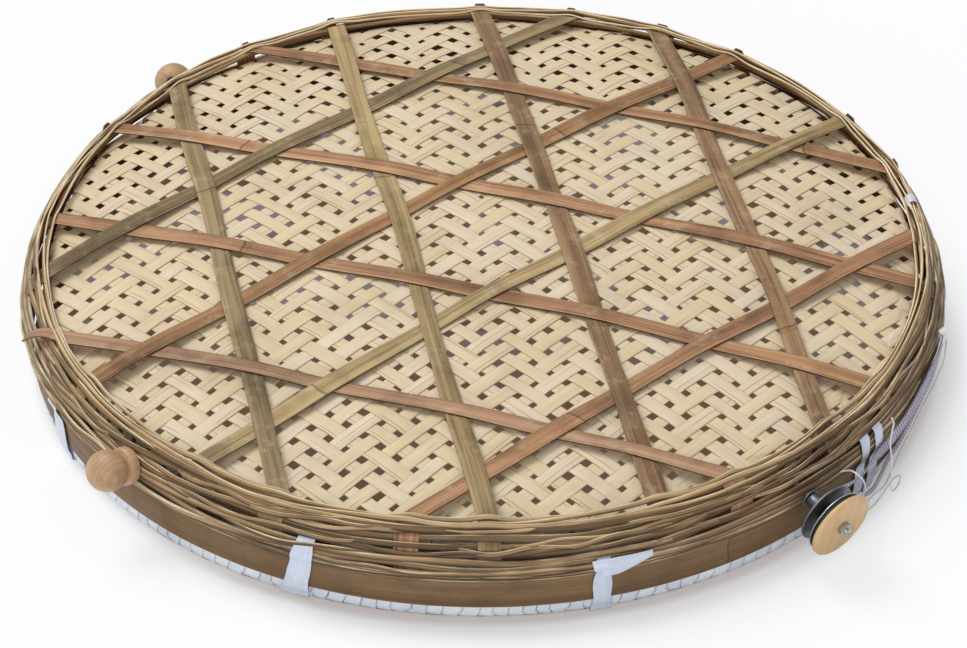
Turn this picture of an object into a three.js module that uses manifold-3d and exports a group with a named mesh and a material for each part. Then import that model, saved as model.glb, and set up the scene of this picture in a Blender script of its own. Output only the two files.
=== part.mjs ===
import * as THREE from 'three';
import Module from 'manifold-3d';
import { mergeVertices, toCreasedNormals } from 'three/addons/utils/BufferGeometryUtils.js';

// Woven bamboo food cover, a shallow sieve turned upside down.
// Millimetres, Z up, standing on Z = 0, the wall's axis on Z.
// Angles round the wall are in degrees from +X, counterclockwise seen from above.

const wasm = await Module();
wasm.setup();

// General values
const gap = 0.3;
const ringSides = 60;
const deg = Math.PI / 180;
const creaseAngle = 0.6;

// Bottom hoop and its tape
const hoopHeight = 10;
const tapeThickness = 0.9;
const tapeStep = 0.45;
const tapeTurns = 60;
const tapeArcs = 4;
const tapeProud = 1.2;

// Wide band outside, flaring upward
const bandHeight = 20;
const bandThickness = 3.2;
const bandFlare = 3;

// Side wall of thin splints: its widest radius drives every ring
const wallR = 298.6;
const rimDraw = 11.8;
const footDraw = 4.1;
const wallHeight = 36.8;
const bulgeShare = 0.2554;
const weaverRows = 6;
const weaverThickness = 3.4;
const rimTopR = wallR - rimDraw;
const wallBottomR = wallR - footDraw;
const bandTopR = wallBottomR - gap;
const bandBottomR = bandTopR - bandFlare;
const windingOuterR = bandBottomR + tapeProud;
const bandTopZ = hoopHeight + gap + bandHeight;
const wallBottomZ = bandTopZ + gap;
const rimTopZ = wallBottomZ + wallHeight;
const bulgeZ = wallBottomZ + bulgeShare * wallHeight;

// Woven mat: domed top, edge turned down inside the wall
const stakeRoom = 2.3;
const matOuterR = rimTopR - weaverThickness - stakeRoom;
const matThickness = 1.6;
const matCrownZ = rimTopZ + 8.8;
const bowRise = 10.5;
const matEdgeDrop = 6.2;
const matShoulder = 3.6;

// Inner band, inside the turned-down edge of the mat
const innerBandThickness = 2.2;
const innerBandTopZ = rimTopZ - 14.9;

// Wide strips over the top; offsets are shares of the mat's radius
const stripWidth = 13;
const stripThickness = 1.4;
const stripBend = 2.5;
const stakeBottomZ = wallBottomZ + 2.4;
const crossingHold = 11.5;
const longestSpan = 60;
const families = {
  a: { angle: -18.8, over: 'c', offsets: [0.6026, 0.1754, -0.2191, -0.6304] },
  b: { angle: 41.56, over: 'a', offsets: [0.5859, 0.1853, -0.191, -0.6364] },
  c: { angle: 101.0, over: 'b', offsets: [0.5984, 0.1811, -0.1861, -0.6009] },
};
// One place where the order turns round: strip c2 passes over strip a1
const turnedCrossing = ['a1', 'c2'];

// White tape ties
const tieWidth = 12.5;
const tieThickness = 0.8;
const tieBottomZ = 0.4;
const tieTop = (share) => wallBottomZ + share * wallHeight;
const rimTieAngle = 10;

// Turned knobs
const knobCollarR = 12;
const knobCollarLength = 7;
const knobNeckR = 8;
const knobBallR = 13.1;
const knobBallZ = 17.3;
const knobScrewR = 1.9;
const knobScrewDepth = 13;
const screwHeadR = 3.6;
const screwHeadHeight = 2.4;
const screwWasherR = 5;
const washerThickness = 1;

// Round wooden button on its bolt
const buttonAngle = -48.6;
const buttonZ = wallBottomZ + 0.25 * wallHeight;
const buttonTilt = -12;
const boltR = 2;
const boltSides = 24;
const buttonR = 22.4;
const buttonThickness = 3.5;
const gasketR = 20.5;
const gasketThickness = 2;
const steelDiscR = 21.2;
const steelDiscThickness = 0.9;
const sleeveR = 6;
const sleeveLength = 6.2;
const plateR = 20;
const plateThickness = 1.3;
const spacerR = 4.5;
const spacerLength = 12.3;
const wallWasherR = 6;
const wallWasherThickness = 1.2;
const nutR = 4;
const nutHeight = 3.2;
const boltEnd = 2.2;
const runningGap = 0.02;
const washerSeat = wallWasherR * Math.tan(Math.abs(buttonTilt) * deg) + gap;

// Elastic band and string at the right of the wall
const elasticWidth = 10;
const elasticNarrow = 5;
const elasticThickness = 1;
const knotR = 4.2;
const knotSquash = 0.8;
const knotArc = 180.3;
const knotRise = 9.7;
const stringR = 0.6;

// Colours, roughness and metalness
const looks = {
  mat: [0xe6d8b4, 0.7, 0],
  redBrown: [0x9c7052, 0.6, 0],
  pinkTan: [0xb58f72, 0.6, 0],
  olive: [0x94835a, 0.6, 0],
  oliveYellow: [0xa3905c, 0.6, 0],
  orangeBrown: [0xa67a50, 0.6, 0],
  greyBrown: [0x8c7058, 0.6, 0],
  splint: [0x9a7c50, 0.65, 0],
  band: [0x85683f, 0.6, 0],
  tape: [0xe4e8ee, 0.35, 0],
  knobWood: [0xa67c55, 0.55, 0],
  paleWood: [0xcfa673, 0.5, 0],
  steel: [0xb4b6b8, 0.3, 1],
  darkSteel: [0x6c6e70, 0.4, 1],
  rubber: [0x1e1d1e, 0.7, 0],
  elastic: [0xa4a2b4, 0.8, 0],
  string: [0xe8e8ea, 0.8, 0],
};

const part = new THREE.Group();
part.name = 'bamboo_food_cover';

// Geometry from a list of points and a list of triangles, faces turned outward
function solid(points, triangles) {
  let volume = 0;
  const a = new THREE.Vector3();
  for (const [i, j, k] of triangles) {
    volume += a.crossVectors(points[i], points[j]).dot(points[k]);
  }
  const index = [];
  for (const [i, j, k] of triangles) {
    index.push(...(volume > 0 ? [i, j, k] : [i, k, j]));
  }
  const geometry = new THREE.BufferGeometry();
  const flat = points.flatMap((p) => [p.x, p.y, p.z]);
  geometry.setAttribute('position', new THREE.Float32BufferAttribute(flat, 3));
  geometry.setIndex(index);
  return geometry;
}

// Skin over a row of convex sections with the same number of points.
// A closed row joins its last section to its first, an open one is capped,
// with a fan or with the triangles given for a hollow outline.
function loft(sections, closed, cap) {
  const n = sections[0].length;
  const triangles = [];
  const last = closed ? sections.length : sections.length - 1;
  for (let s = 0; s < last; s += 1) {
    const next = (s + 1) % sections.length;
    for (let i = 0; i < n; i += 1) {
      const j = (i + 1) % n;
      triangles.push([s * n + i, next * n + i, next * n + j]);
      triangles.push([s * n + i, next * n + j, s * n + j]);
    }
  }
  if (!closed) {
    const end = (sections.length - 1) * n;
    const fan = Array.from({ length: n - 2 }, (_, i) => [0, i + 1, i + 2]);
    for (const [i, j, k] of cap ?? fan) {
      triangles.push([i, j, k]);
      triangles.push([end + i, end + k, end + j]);
    }
  }
  return solid(sections.flat(), triangles);
}

// Solid of revolution about Z from [radius, z] points.
// A profile either starts and ends on the axis, or is a closed outline off it.
function revolve(profile, sides, twist = 0) {
  const points = [];
  const rows = profile.map(([r, z]) => {
    if (r === 0) {
      points.push(new THREE.Vector3(0, 0, z));
      return Array(sides).fill(points.length - 1);
    }
    const row = [];
    for (let s = 0; s < sides; s += 1) {
      const angle = 2 * Math.PI * (s + twist) / sides;
      points.push(new THREE.Vector3(r * Math.cos(angle), r * Math.sin(angle), z));
      row.push(points.length - 1);
    }
    return row;
  });
  const onAxis = profile[0][0] === 0;
  const last = onAxis ? rows.length - 1 : rows.length;
  const triangles = [];
  for (let i = 0; i < last; i += 1) {
    const a = rows[i];
    const b = rows[(i + 1) % rows.length];
    for (let s = 0; s < sides; s += 1) {
      const t = (s + 1) % sides;
      if (a[s] !== a[t]) triangles.push([a[s], a[t], b[t]]);
      if (b[s] !== b[t]) triangles.push([a[s], b[t], b[s]]);
    }
  }
  return solid(points, triangles);
}

function toManifold(geometry) {
  const clean = geometry.clone();
  clean.deleteAttribute('normal');
  clean.deleteAttribute('uv');
  const welded = mergeVertices(clean, 1e-4);
  return new wasm.Manifold(new wasm.Mesh({
    numProp: 3,
    vertProperties: new Float32Array(welded.attributes.position.array),
    triVerts: new Uint32Array(welded.index.array),
  }));
}

function fromManifold(body) {
  const mesh = body.getMesh();
  const geometry = new THREE.BufferGeometry();
  const array = new Float32Array(mesh.vertProperties);
  geometry.setAttribute('position', new THREE.BufferAttribute(array, 3));
  geometry.setIndex(Array.from(mesh.triVerts));
  return geometry;
}

function add(name, geometry, look, parent = part) {
  const [color, roughness, metalness] = looks[look];
  const material = new THREE.MeshStandardMaterial({ color, roughness, metalness });
  const mesh = new THREE.Mesh(toCreasedNormals(geometry, creaseAngle), material);
  mesh.name = name;
  parent.add(mesh);
  return mesh;
}

function polar(r, angle, z) {
  return new THREE.Vector3(r * Math.cos(angle * deg), r * Math.sin(angle * deg), z);
}

// Outer radius of the splint wall at a height, and how far its face leans back
function wallRadius(z) {
  if (z > bulgeZ) {
    const t = (z - bulgeZ) / (rimTopZ - bulgeZ);
    return wallR - rimDraw * t * t;
  }
  const t = (bulgeZ - z) / (bulgeZ - wallBottomZ);
  return wallR - footDraw * t * t;
}

function wallLean(z) {
  const step = 0.5;
  return Math.atan((wallRadius(z - step) - wallRadius(z + step)) / (2 * step)) / deg;
}

// Frames of the three fixtures on the wall: local Z is the outward axis
function fixture(name, angle, z, tilt) {
  const group = new THREE.Group();
  group.name = name;
  group.position.copy(polar(wallRadius(z), angle, z));
  const axis = polar(Math.cos(tilt * deg), angle, Math.sin(tilt * deg));
  group.quaternion.setFromUnitVectors(new THREE.Vector3(0, 0, 1), axis);
  group.userData.tilt = tilt;
  part.add(group);
  group.updateMatrixWorld(true);
  return group;
}

const innerBandOuterR = matOuterR - matThickness - gap;
const innerBandInnerR = innerBandOuterR - innerBandThickness;
const frontKnobAngle = -136.6;
const frontKnobZ = wallBottomZ + 0.4946 * wallHeight;
const rearKnobAngle = 132.6;
const rearKnobZ = bulgeZ;
const frontKnob = fixture('front_knob', frontKnobAngle, frontKnobZ, wallLean(frontKnobZ));
const rearKnob = fixture('rear_knob', rearKnobAngle, rearKnobZ, wallLean(rearKnobZ));
const button = fixture('button', buttonAngle, buttonZ, buttonTilt);

// Distance along a fixture's axis from the wall's outer face to a washer inside
function wallDepth(group, washerR) {
  const flatsR = innerBandInnerR * Math.cos(Math.PI / ringSides);
  const radial = group.position.clone().setZ(0).length() - flatsR;
  const tilt = Math.abs(group.userData.tilt) * deg;
  return radial / Math.cos(tilt) + washerR * Math.tan(tilt) + gap;
}

// Holes for the three shanks through every ring that they cross
const drills = [
  [frontKnob, knobScrewR],
  [rearKnob, knobScrewR],
  [button, boltR],
].map(([group, shankR]) => {
  const reach = 45;
  const r = shankR + gap;
  const drill = revolve([[0, -reach], [r, -reach], [r, 10], [0, 10]], 12);
  return toManifold(drill.applyMatrix4(group.matrixWorld));
});

function drilled(geometry) {
  let body = toManifold(geometry);
  for (const drill of drills) body = body.subtract(drill);
  return fromManifold(body);
}

// Height of the top of the mat, and of the underside of a strip lying low
function matTop(r) {
  const t = r / matOuterR;
  return matCrownZ - bowRise * t * t - matEdgeDrop * t ** 4;
}

function stripBase(r) {
  const t = r / matOuterR;
  return matCrownZ + gap - bowRise * t * t;
}

// Mat: the domed top with its rounded shoulder, and the edge turned down below it
{
  const domeEndR = matOuterR - matShoulder;
  const edgeZ = matTop(domeEndR);
  const shoulderZ = edgeZ - 1.2 * matShoulder;
  const skirtInnerR = matOuterR - matThickness;
  const outer = [0, 0.3, 0.52, 0.68, 0.8, 0.9, 1]
    .map((t) => [t * domeEndR, matTop(t * domeEndR)]);
  outer.push([matOuterR - 0.25 * matShoulder, edgeZ - 0.4 * matShoulder]);
  outer.push([matOuterR, shoulderZ]);
  const inner = [[skirtInnerR, shoulderZ]];
  inner.push([skirtInnerR - 0.5 * matShoulder, edgeZ - 0.3 * matShoulder - matThickness]);
  for (const t of [0.97, 0.8, 0.52, 0]) {
    inner.push([t * domeEndR, matTop(t * domeEndR) - matThickness]);
  }
  add('woven_mat', revolve([...outer, ...inner], ringSides), 'mat');
  const bottom = hoopHeight + gap;
  add('mat_skirt', drilled(revolve([
    [skirtInnerR, bottom],
    [matOuterR, bottom],
    [matOuterR, shoulderZ - gap],
    [skirtInnerR, shoulderZ - gap],
  ], ringSides)), 'mat');
}

// Bottom hoop, and the tape wound on it: each turn starts proud of the one before
const windingInnerR = matOuterR - matThickness - gap - innerBandThickness;
{
  const innerWallR = windingInnerR + tapeThickness;
  const outerWallR = windingOuterR - tapeThickness;
  const coreInnerR = innerWallR + 2 * gap;
  const coreOuterR = outerWallR - 1.2 * gap;
  add('rim_hoop', revolve([
    [coreInnerR, tapeThickness + gap],
    [coreOuterR, tapeThickness + gap],
    [coreOuterR, hoopHeight],
    [coreInnerR, hoopHeight],
  ], ringSides), 'band');
  // The winding lies in four arcs, so that its collision follows the round opening
  const section = (turn, share, step, shift) => {
    const angle = 360 * (turn + share) / tapeTurns - 45 + shift;
    return [
      [windingInnerR, 0],
      [windingOuterR - step, 0],
      [windingOuterR - step, hoopHeight],
      [outerWallR, hoopHeight],
      [outerWallR, tapeThickness],
      [innerWallR, tapeThickness],
      [innerWallR, hoopHeight],
      [windingInnerR, hoopHeight],
    ].map(([r, z]) => polar(r, angle, z));
  };
  const channelEnd = [[0, 1, 4], [0, 4, 5], [1, 2, 3], [1, 3, 4], [0, 5, 6], [0, 6, 7]];
  const arcTurns = tapeTurns / tapeArcs;
  const halfGap = gap / 2 / windingInnerR / deg;
  for (let arc = 0; arc < tapeArcs; arc += 1) {
    const first = arc * arcTurns;
    const sections = [section(first, 0, 0, halfGap)];
    for (let turn = first; turn < first + arcTurns; turn += 1) {
      if (turn > first) sections.push(section(turn, 0, 0, 0));
      sections.push(section(turn, 0.9, tapeStep, 0));
    }
    sections.push(section(first + arcTurns, 0, tapeStep, -halfGap));
    add(`hoop_winding_${arc + 1}`, loft(sections, false, channelEnd), 'tape');
  }
}

// Inner band and wide outer band
{
  const bottom = hoopHeight + gap;
  add('inner_band', drilled(revolve([
    [innerBandInnerR, bottom],
    [innerBandOuterR, bottom],
    [innerBandOuterR, innerBandTopZ],
    [innerBandInnerR, innerBandTopZ],
  ], ringSides)), 'band');
  add('outer_band', revolve([
    [bandBottomR - bandThickness, bottom],
    [bandBottomR, bottom],
    [bandTopR, bandTopZ],
    [bandTopR - bandThickness, bandTopZ],
  ], ringSides), 'band');
}

// Rows of splints that make the bulging wall
const rowPitch = (rimTopZ - wallBottomZ) / weaverRows;
for (let row = 0; row < weaverRows; row += 1) {
  const low = wallBottomZ + row * rowPitch;
  const high = low + rowPitch - (row < weaverRows - 1 ? gap : 0);
  add(`weaver_${row + 1}`, drilled(revolve([
    [wallRadius(low) - weaverThickness, low],
    [wallRadius(low), low],
    [wallRadius(high), high],
    [wallRadius(high) - weaverThickness, high],
  ], ringSides)), 'splint');
}

// Wide strips: each lies on the mat, rises over one family, and goes down inside the wall
const stripLooks = {
  a: ['redBrown', 'redBrown', 'redBrown', 'pinkTan'],
  b: ['olive', 'orangeBrown', 'oliveYellow', 'redBrown'],
  c: ['olive', 'oliveYellow', 'greyBrown', 'greyBrown'],
};
const stakeR = matOuterR + gap;
const lift = stripThickness + gap;

function crossings(key, index) {
  const own = families[key];
  const list = [];
  for (const [otherKey, other] of Object.entries(families)) {
    if (otherKey === key) continue;
    const turn = (other.angle - own.angle) * deg;
    other.offsets.forEach((offset, i) => {
      const s = matOuterR * (own.offsets[index] * Math.cos(turn) - offset) / Math.sin(turn);
      const pair = [`${key}${index + 1}`, `${otherKey}${i + 1}`].sort();
      const turned = pair.join() === turnedCrossing.join();
      const over = (own.over === otherKey) !== turned;
      const reach = Math.hypot(s, matOuterR * own.offsets[index]);
      if (reach < stakeR - crossingHold) list.push({ s, over });
    });
  }
  return list.sort((p, q) => p.s - q.s);
}

function stripGeometry(key, index) {
  const { angle, offsets } = families[key];
  const along = new THREE.Vector3(Math.cos(angle * deg), Math.sin(angle * deg), 0);
  const across = new THREE.Vector3(-Math.sin(angle * deg), Math.cos(angle * deg), 0);
  const up = new THREE.Vector3(0, 0, 1);
  const centre = matOuterR * offsets[index];
  const flatEnd = (offset) => Math.sqrt((stakeR - stripBend) ** 2 - offset ** 2);
  const wallEnd = (offset) => Math.sqrt(stakeR ** 2 - offset ** 2);
  const end = flatEnd(centre);

  // Stations along the middle line: position, and height above the low level
  const stations = [{ s: -end, rise: 0 }];
  for (const { s, over } of crossings(key, index)) {
    for (const side of [-1, 1]) {
      const rise = over ? lift : 0;
      const at = Math.max(-end, Math.min(end, s + side * crossingHold));
      const before = stations[stations.length - 1];
      const pieces = Math.ceil((at - before.s) / longestSpan);
      for (let i = 1; i <= pieces; i += 1) {
        const t = i / pieces;
        stations.push({
          s: before.s + t * (at - before.s),
          rise: before.rise + t * (rise - before.rise),
        });
      }
    }
  }
  stations.push({ s: end, rise: 0 });

  const edges = [centre - stripWidth / 2, centre + stripWidth / 2];
  const point = (s, offset) => along.clone().multiplyScalar(s)
    .addScaledVector(across, offset);
  // One section from a function that gives foot and outward normal at an edge
  const section = (at) => {
    const [low, high] = edges.map(at);
    const top = ({ foot, normal }) => foot.clone().addScaledVector(normal, stripThickness);
    return [low.foot, high.foot, top(high), top(low)];
  };
  const wall = (side, turn, z) => section((offset) => {
    const flat = flatEnd(offset);
    const share = Math.sin(turn * deg);
    const foot = point(side * (flat + share * (wallEnd(offset) - flat)), offset);
    const outward = foot.clone().normalize();
    const base = stripBase(stakeR - stripBend) - stripBend * (1 - Math.cos(turn * deg));
    foot.z = z === undefined ? base : z;
    const normal = up.clone().multiplyScalar(Math.cos(turn * deg))
      .addScaledVector(outward, share);
    return { foot, normal };
  });
  const sections = [wall(-1, 90, stakeBottomZ)];
  for (const turn of [90, 60, 30]) sections.push(wall(-1, turn));
  for (const { s, rise } of stations) {
    sections.push(section((offset) => {
      const foot = point(s / end * flatEnd(offset), offset);
      foot.z = stripBase(foot.length()) + rise;
      return { foot, normal: up };
    }));
  }
  for (const turn of [30, 60, 90]) sections.push(wall(1, turn));
  sections.push(wall(1, 90, stakeBottomZ));
  return loft(sections, false);
}

for (const key of Object.keys(families)) {
  for (let index = 0; index < 4; index += 1) {
    add(`strip_${key}${index + 1}`, stripGeometry(key, index), stripLooks[key][index]);
  }
}

// Tape ties hug the hoop, the wide band and the first splints.
// The lean is how far, in degrees round the wall, the top stands past the foot.
function tieGeometry(angle, topZ, lean = 0) {
  const windingFace = windingOuterR + gap;
  const path = [
    [windingFace, tieBottomZ],
    [windingFace, hoopHeight],
    [bandTopR + gap, bandTopZ],
  ];
  const steps = Math.max(1, Math.round((topZ - wallBottomZ) / 5));
  for (let i = 1; i <= steps; i += 1) {
    const z = wallBottomZ + i / steps * (topZ - wallBottomZ);
    path.push([wallRadius(z) + gap, z]);
  }
  const half = tieWidth / windingOuterR / deg / 2;
  return loft(path.map(([r, z]) => {
    const at = angle + lean * z / topZ;
    return [
      polar(r, at - half, z),
      polar(r, at + half, z),
      polar(r + tieThickness, at + half, z),
      polar(r + tieThickness, at - half, z),
    ];
  }), false);
}

const tie3Angle = -76;
const tie4Angle = buttonAngle + 69.8 / wallR / deg;
const tie4bAngle = tie4Angle - 16.2 / wallR / deg;
add('tie_1', tieGeometry(-153.4, tieTop(0.28), -0.8), 'tape');
add('tie_2', tieGeometry(-113, tieTop(0.54), 2.2), 'tape');
add('tie_3', tieGeometry(tie3Angle, tieTop(0.39)), 'tape');
add('tie_4', tieGeometry(tie4Angle, tieTop(0.61)), 'tape');
add('tie_4b', tieGeometry(tie4bAngle, tieTop(0.61)), 'tape');

// Folded end of the third tie, lying up the splints to the right
{
  const length = 27.1 / wallR / deg;
  const lowZ = wallBottomZ + 4.9;
  const rise = 5;
  const start = tie3Angle + tieWidth / windingOuterR / deg / 2 + gap / windingOuterR / deg;
  const sections = [0, 0.5, 1].map((t) => {
    const angle = start + t * length;
    const low = lowZ + t * rise;
    const high = low + 9 - 3 * t;
    const face = wallR + gap;
    return [
      polar(face, angle, low),
      polar(face, angle, high),
      polar(face + tieThickness, angle, high),
      polar(face + tieThickness, angle, low),
    ];
  });
  add('tie_3_fold', loft(sections, false), 'tape');
}

// Tie over the top edge: a staple round the highest row of splints
{
  const half = 4.6 / rimTopR / deg;
  const innerFace = stakeR + 0.2;
  const topZ = rimTopZ + gap;
  const legZ = rimTopZ - 7;
  const outerFace = wallRadius(legZ) + gap;
  const crestFace = rimTopR + gap;
  const leg = 1;
  const path = [
    [innerFace, legZ, innerFace + leg, legZ],
    [innerFace, topZ + leg, innerFace + leg, topZ],
    [crestFace + leg, topZ + leg, crestFace, topZ],
    [outerFace + leg, legZ, outerFace, legZ],
  ];
  add('tie_5', loft(path.map(([r1, z1, r2, z2]) => [
    polar(r1, rimTieAngle - half, z1),
    polar(r1, rimTieAngle + half, z1),
    polar(r2, rimTieAngle + half, z2),
    polar(r2, rimTieAngle - half, z2),
  ]), false), 'tape');
}

// A washer or disc with a bore, between two heights on its axis
function disc(outerR, boreR, low, high, sides, edge = 0) {
  const outline = [[boreR, low], [outerR - edge, low]];
  if (edge > 0) outline.push([outerR, low + edge], [outerR, high - edge]);
  outline.push([outerR - edge, high], [boreR, high]);
  return revolve(outline, sides);
}

// Turned knobs, each with a screw and washer from inside
function knob(group, name) {
  const neckZ = knobCollarLength + 1.4;
  const joinZ = neckZ + 1;
  const boreR = knobScrewR + gap;
  const boreEnd = knobScrewDepth + gap;
  const chamfer = 0.9;
  const profile = [
    [0, boreEnd],
    [boreR, boreEnd],
    [boreR, gap],
    [knobCollarR - chamfer, gap],
    [knobCollarR, gap + chamfer],
    [knobCollarR, knobCollarLength - chamfer],
    [knobCollarR - chamfer, knobCollarLength],
    [knobNeckR, neckZ],
  ];
  const start = Math.asin((joinZ - knobBallZ) / knobBallR);
  const bands = 6;
  for (let i = 0; i < bands; i += 1) {
    const t = start + (Math.PI / 2 - start) * i / bands;
    profile.push([knobBallR * Math.cos(t), knobBallZ + knobBallR * Math.sin(t)]);
  }
  profile.push([0, knobBallZ + knobBallR]);
  add(name, revolve(profile, 20), 'knobWood', group);

  const depth = wallDepth(group, screwWasherR);
  const headZ = -depth - washerThickness - gap;
  add(`${name}_screw`, revolve([
    [0, headZ - screwHeadHeight],
    [0.75 * screwHeadR, headZ - screwHeadHeight],
    [screwHeadR, headZ - 0.4 * screwHeadHeight],
    [screwHeadR, headZ],
    [knobScrewR, headZ],
    [knobScrewR, knobScrewDepth],
    [0, knobScrewDepth],
  ], 12), 'steel', group);
  const washer = disc(screwWasherR, boreR, -depth - washerThickness, -depth, 12);
  add(`${name}_washer`, washer, 'steel', group);
}

knob(frontKnob, 'knob_front');
knob(rearKnob, 'knob_rear');

// Button stack from the wall outward, then the bolt through it
{
  const boreR = boltR + gap;
  let z = washerSeat;
  const stack = (name, outerR, thickness, look, edge = 0, hole = boreR, sides = 24) => {
    add(name, disc(outerR, hole, z, z + thickness, sides, edge), look, button);
    z += thickness + gap;
  };
  stack('wall_washer', wallWasherR, wallWasherThickness, 'darkSteel');
  stack('button_spacer', spacerR, spacerLength, 'darkSteel', 0, boreR, 16);
  stack('button_plate', plateR, plateThickness, 'darkSteel');
  stack('button_sleeve', sleeveR, sleeveLength, 'rubber', 0, boreR, 16);
  stack('steel_disc', steelDiscR, steelDiscThickness, 'steel');
  stack('rubber_disc', gasketR, gasketThickness, 'rubber');
  const runningR = boltR / Math.cos(Math.PI / boltSides) + runningGap;
  stack('wood_button', buttonR, buttonThickness, 'paleWood', 1, runningR, 36);
  const nutZ = z;
  const nut = revolve([
    [boreR, nutZ],
    [nutR, nutZ],
    [nutR, nutZ + nutHeight],
    [boreR, nutZ + nutHeight],
  ], 6);
  add('button_nut', nut, 'steel', button);

  const depth = wallDepth(button, screwWasherR);
  const headZ = -depth - washerThickness - gap;
  add('button_bolt', revolve([
    [0, headZ - screwHeadHeight],
    [0.75 * screwHeadR, headZ - screwHeadHeight],
    [screwHeadR, headZ - 0.4 * screwHeadHeight],
    [screwHeadR, headZ],
    [boltR, headZ],
    [boltR, nutZ + nutHeight + boltEnd],
    [0, nutZ + nutHeight + boltEnd],
  ], boltSides), 'steel', button);
  const washer = disc(screwWasherR, boreR, -depth - washerThickness, -depth, 12);
  add('button_washer', washer, 'steel', button);
}

// A place beside the button: distance out from the wall's widest radius, arc, and rise
function beside(out, arc, rise) {
  return polar(wallR + out, buttonAngle + arc / wallR / deg, buttonZ + rise);
}

// Knot at the right end of the elastic, resting against the wall
const knotOut = wallRadius(buttonZ + knotRise) + gap + knotSquash * knotR - wallR;
{
  const profile = [];
  const bands = 6;
  for (let i = 0; i <= bands; i += 1) {
    const t = Math.PI * (i / bands - 0.5);
    const r = i === 0 || i === bands ? 0 : knotR * Math.cos(t);
    profile.push([r, knotSquash * knotR * Math.sin(t)]);
  }
  const knot = add('elastic_knot', revolve(profile, 12), 'string');
  knot.position.copy(beside(knotOut, knotArc, knotRise));
  knot.rotation.set(0, Math.PI / 2, Math.atan2(knot.position.y, knot.position.x));
}

// Elastic: along the wall from the knot, round the spacer, and back below.
// Each point: place beside the button, width, and how far the width leans outward.
{
  const face = gap + tieThickness + gap + elasticThickness / 2;
  const spacerEnd = washerSeat + wallWasherThickness + gap + spacerLength;
  const hubZ = spacerEnd - gap - elasticNarrow / 2;
  const hub = new THREE.Vector3(0, 0, hubZ).applyMatrix4(button.matrixWorld);
  const axis = new THREE.Vector3(0, 0, 1).transformDirection(button.matrixWorld);
  const hubOut = Math.hypot(hub.x, hub.y) - wallR;
  const wrapR = spacerR + gap + elasticThickness / 2;
  const full = elasticWidth;
  const slim = elasticNarrow;
  const upper = [
    [knotOut + 0.8, knotArc - 4.6, knotRise + 0.4, 0.5 * full, 0],
    [face + 1.6, knotArc - 18.2, knotRise - 3, 0.8 * full, 0],
    [face + 0.9, 143.8, 3.2, full, 0],
    [face + 0.3, 124, 0, full, 0],
    [face + 0.3, 102.6, -3.5, full, 0],
    [face + 0.4, 80, -5.6, full, 0],
    [face + 1.3, 60, -5.8, 0.9 * full, 10],
    [hubOut - 5.3, 44, -4.2, 0.7 * full, 25],
    [hubOut - 2.3, 28, -0.4, slim, 45],
    [hubOut - 1.1, 15, 2, slim, 75],
  ];
  const lower = [
    [hubOut - 1, 15.6, -9.2, slim, 75],
    [hubOut - 2.2, 32.3, -15.8, slim, 50],
    [hubOut - 4.3, 52.6, -22.8, slim, 10],
    [face + 1.1, 70, -26, slim, 0],
    [-1.5, 89, -26.5, slim, 0],
    [-2, 107, -24, slim, 0],
    [-2, 125, -20, slim, 0],
    [-0.5, 141, -13, slim, 0],
    [face, 156.3, -4.8, slim, 0],
    [knotOut + 0.9, knotArc - 5.2, knotRise - 4.4, 0.6 * slim, 0],
  ];
  const place = ([out, arc, rise, width, lean]) => {
    const at = beside(out, arc, rise);
    const outward = lean < 45 ? at.clone().setZ(0).normalize() : axis;
    return { at, width, lean, outward };
  };
  const points = upper.map(place);
  const wrapSteps = 4;
  for (let i = 0; i <= wrapSteps; i += 1) {
    const turn = (90 + 180 * i / wrapSteps) * deg;
    const side = new THREE.Vector3(0, 0, 1).cross(axis).normalize();
    const rise = axis.clone().cross(side).normalize();
    const at = hub.clone()
      .addScaledVector(side, wrapR * Math.cos(turn))
      .addScaledVector(rise, wrapR * Math.sin(turn));
    points.push({ at, width: slim, lean: 90, outward: axis });
  }
  points.push(...lower.map(place));
  const curve = new THREE.CatmullRomCurve3(points.map((p) => p.at), false, 'centripetal');
  const stepsEach = 2;
  const total = (points.length - 1) * stepsEach;
  const sections = [];
  for (let i = 0; i <= total; i += 1) {
    const u = i / total;
    const at = curve.getPoint(u);
    const tangent = curve.getTangent(u);
    const k = Math.min(points.length - 2, Math.floor(i / stepsEach));
    const share = i / stepsEach - k;
    const mix = (key) => points[k][key] + share * (points[k + 1][key] - points[k][key]);
    const lean = mix('lean') * deg;
    const outward = points[k].outward.clone().lerp(points[k + 1].outward, share);
    const width = new THREE.Vector3(0, 0, Math.cos(lean))
      .addScaledVector(outward, Math.sin(lean));
    width.addScaledVector(tangent, -width.dot(tangent)).normalize();
    const normal = tangent.clone().cross(width).normalize();
    const w = mix('width') / 2;
    const h = elasticThickness / 2;
    sections.push([[-w, -h], [w, -h], [w, h], [-w, h]].map(([a, b]) => at.clone()
      .addScaledVector(width, a).addScaledVector(normal, b)));
  }
  add('elastic_band', loft(sections, false), 'elastic');
}

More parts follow.
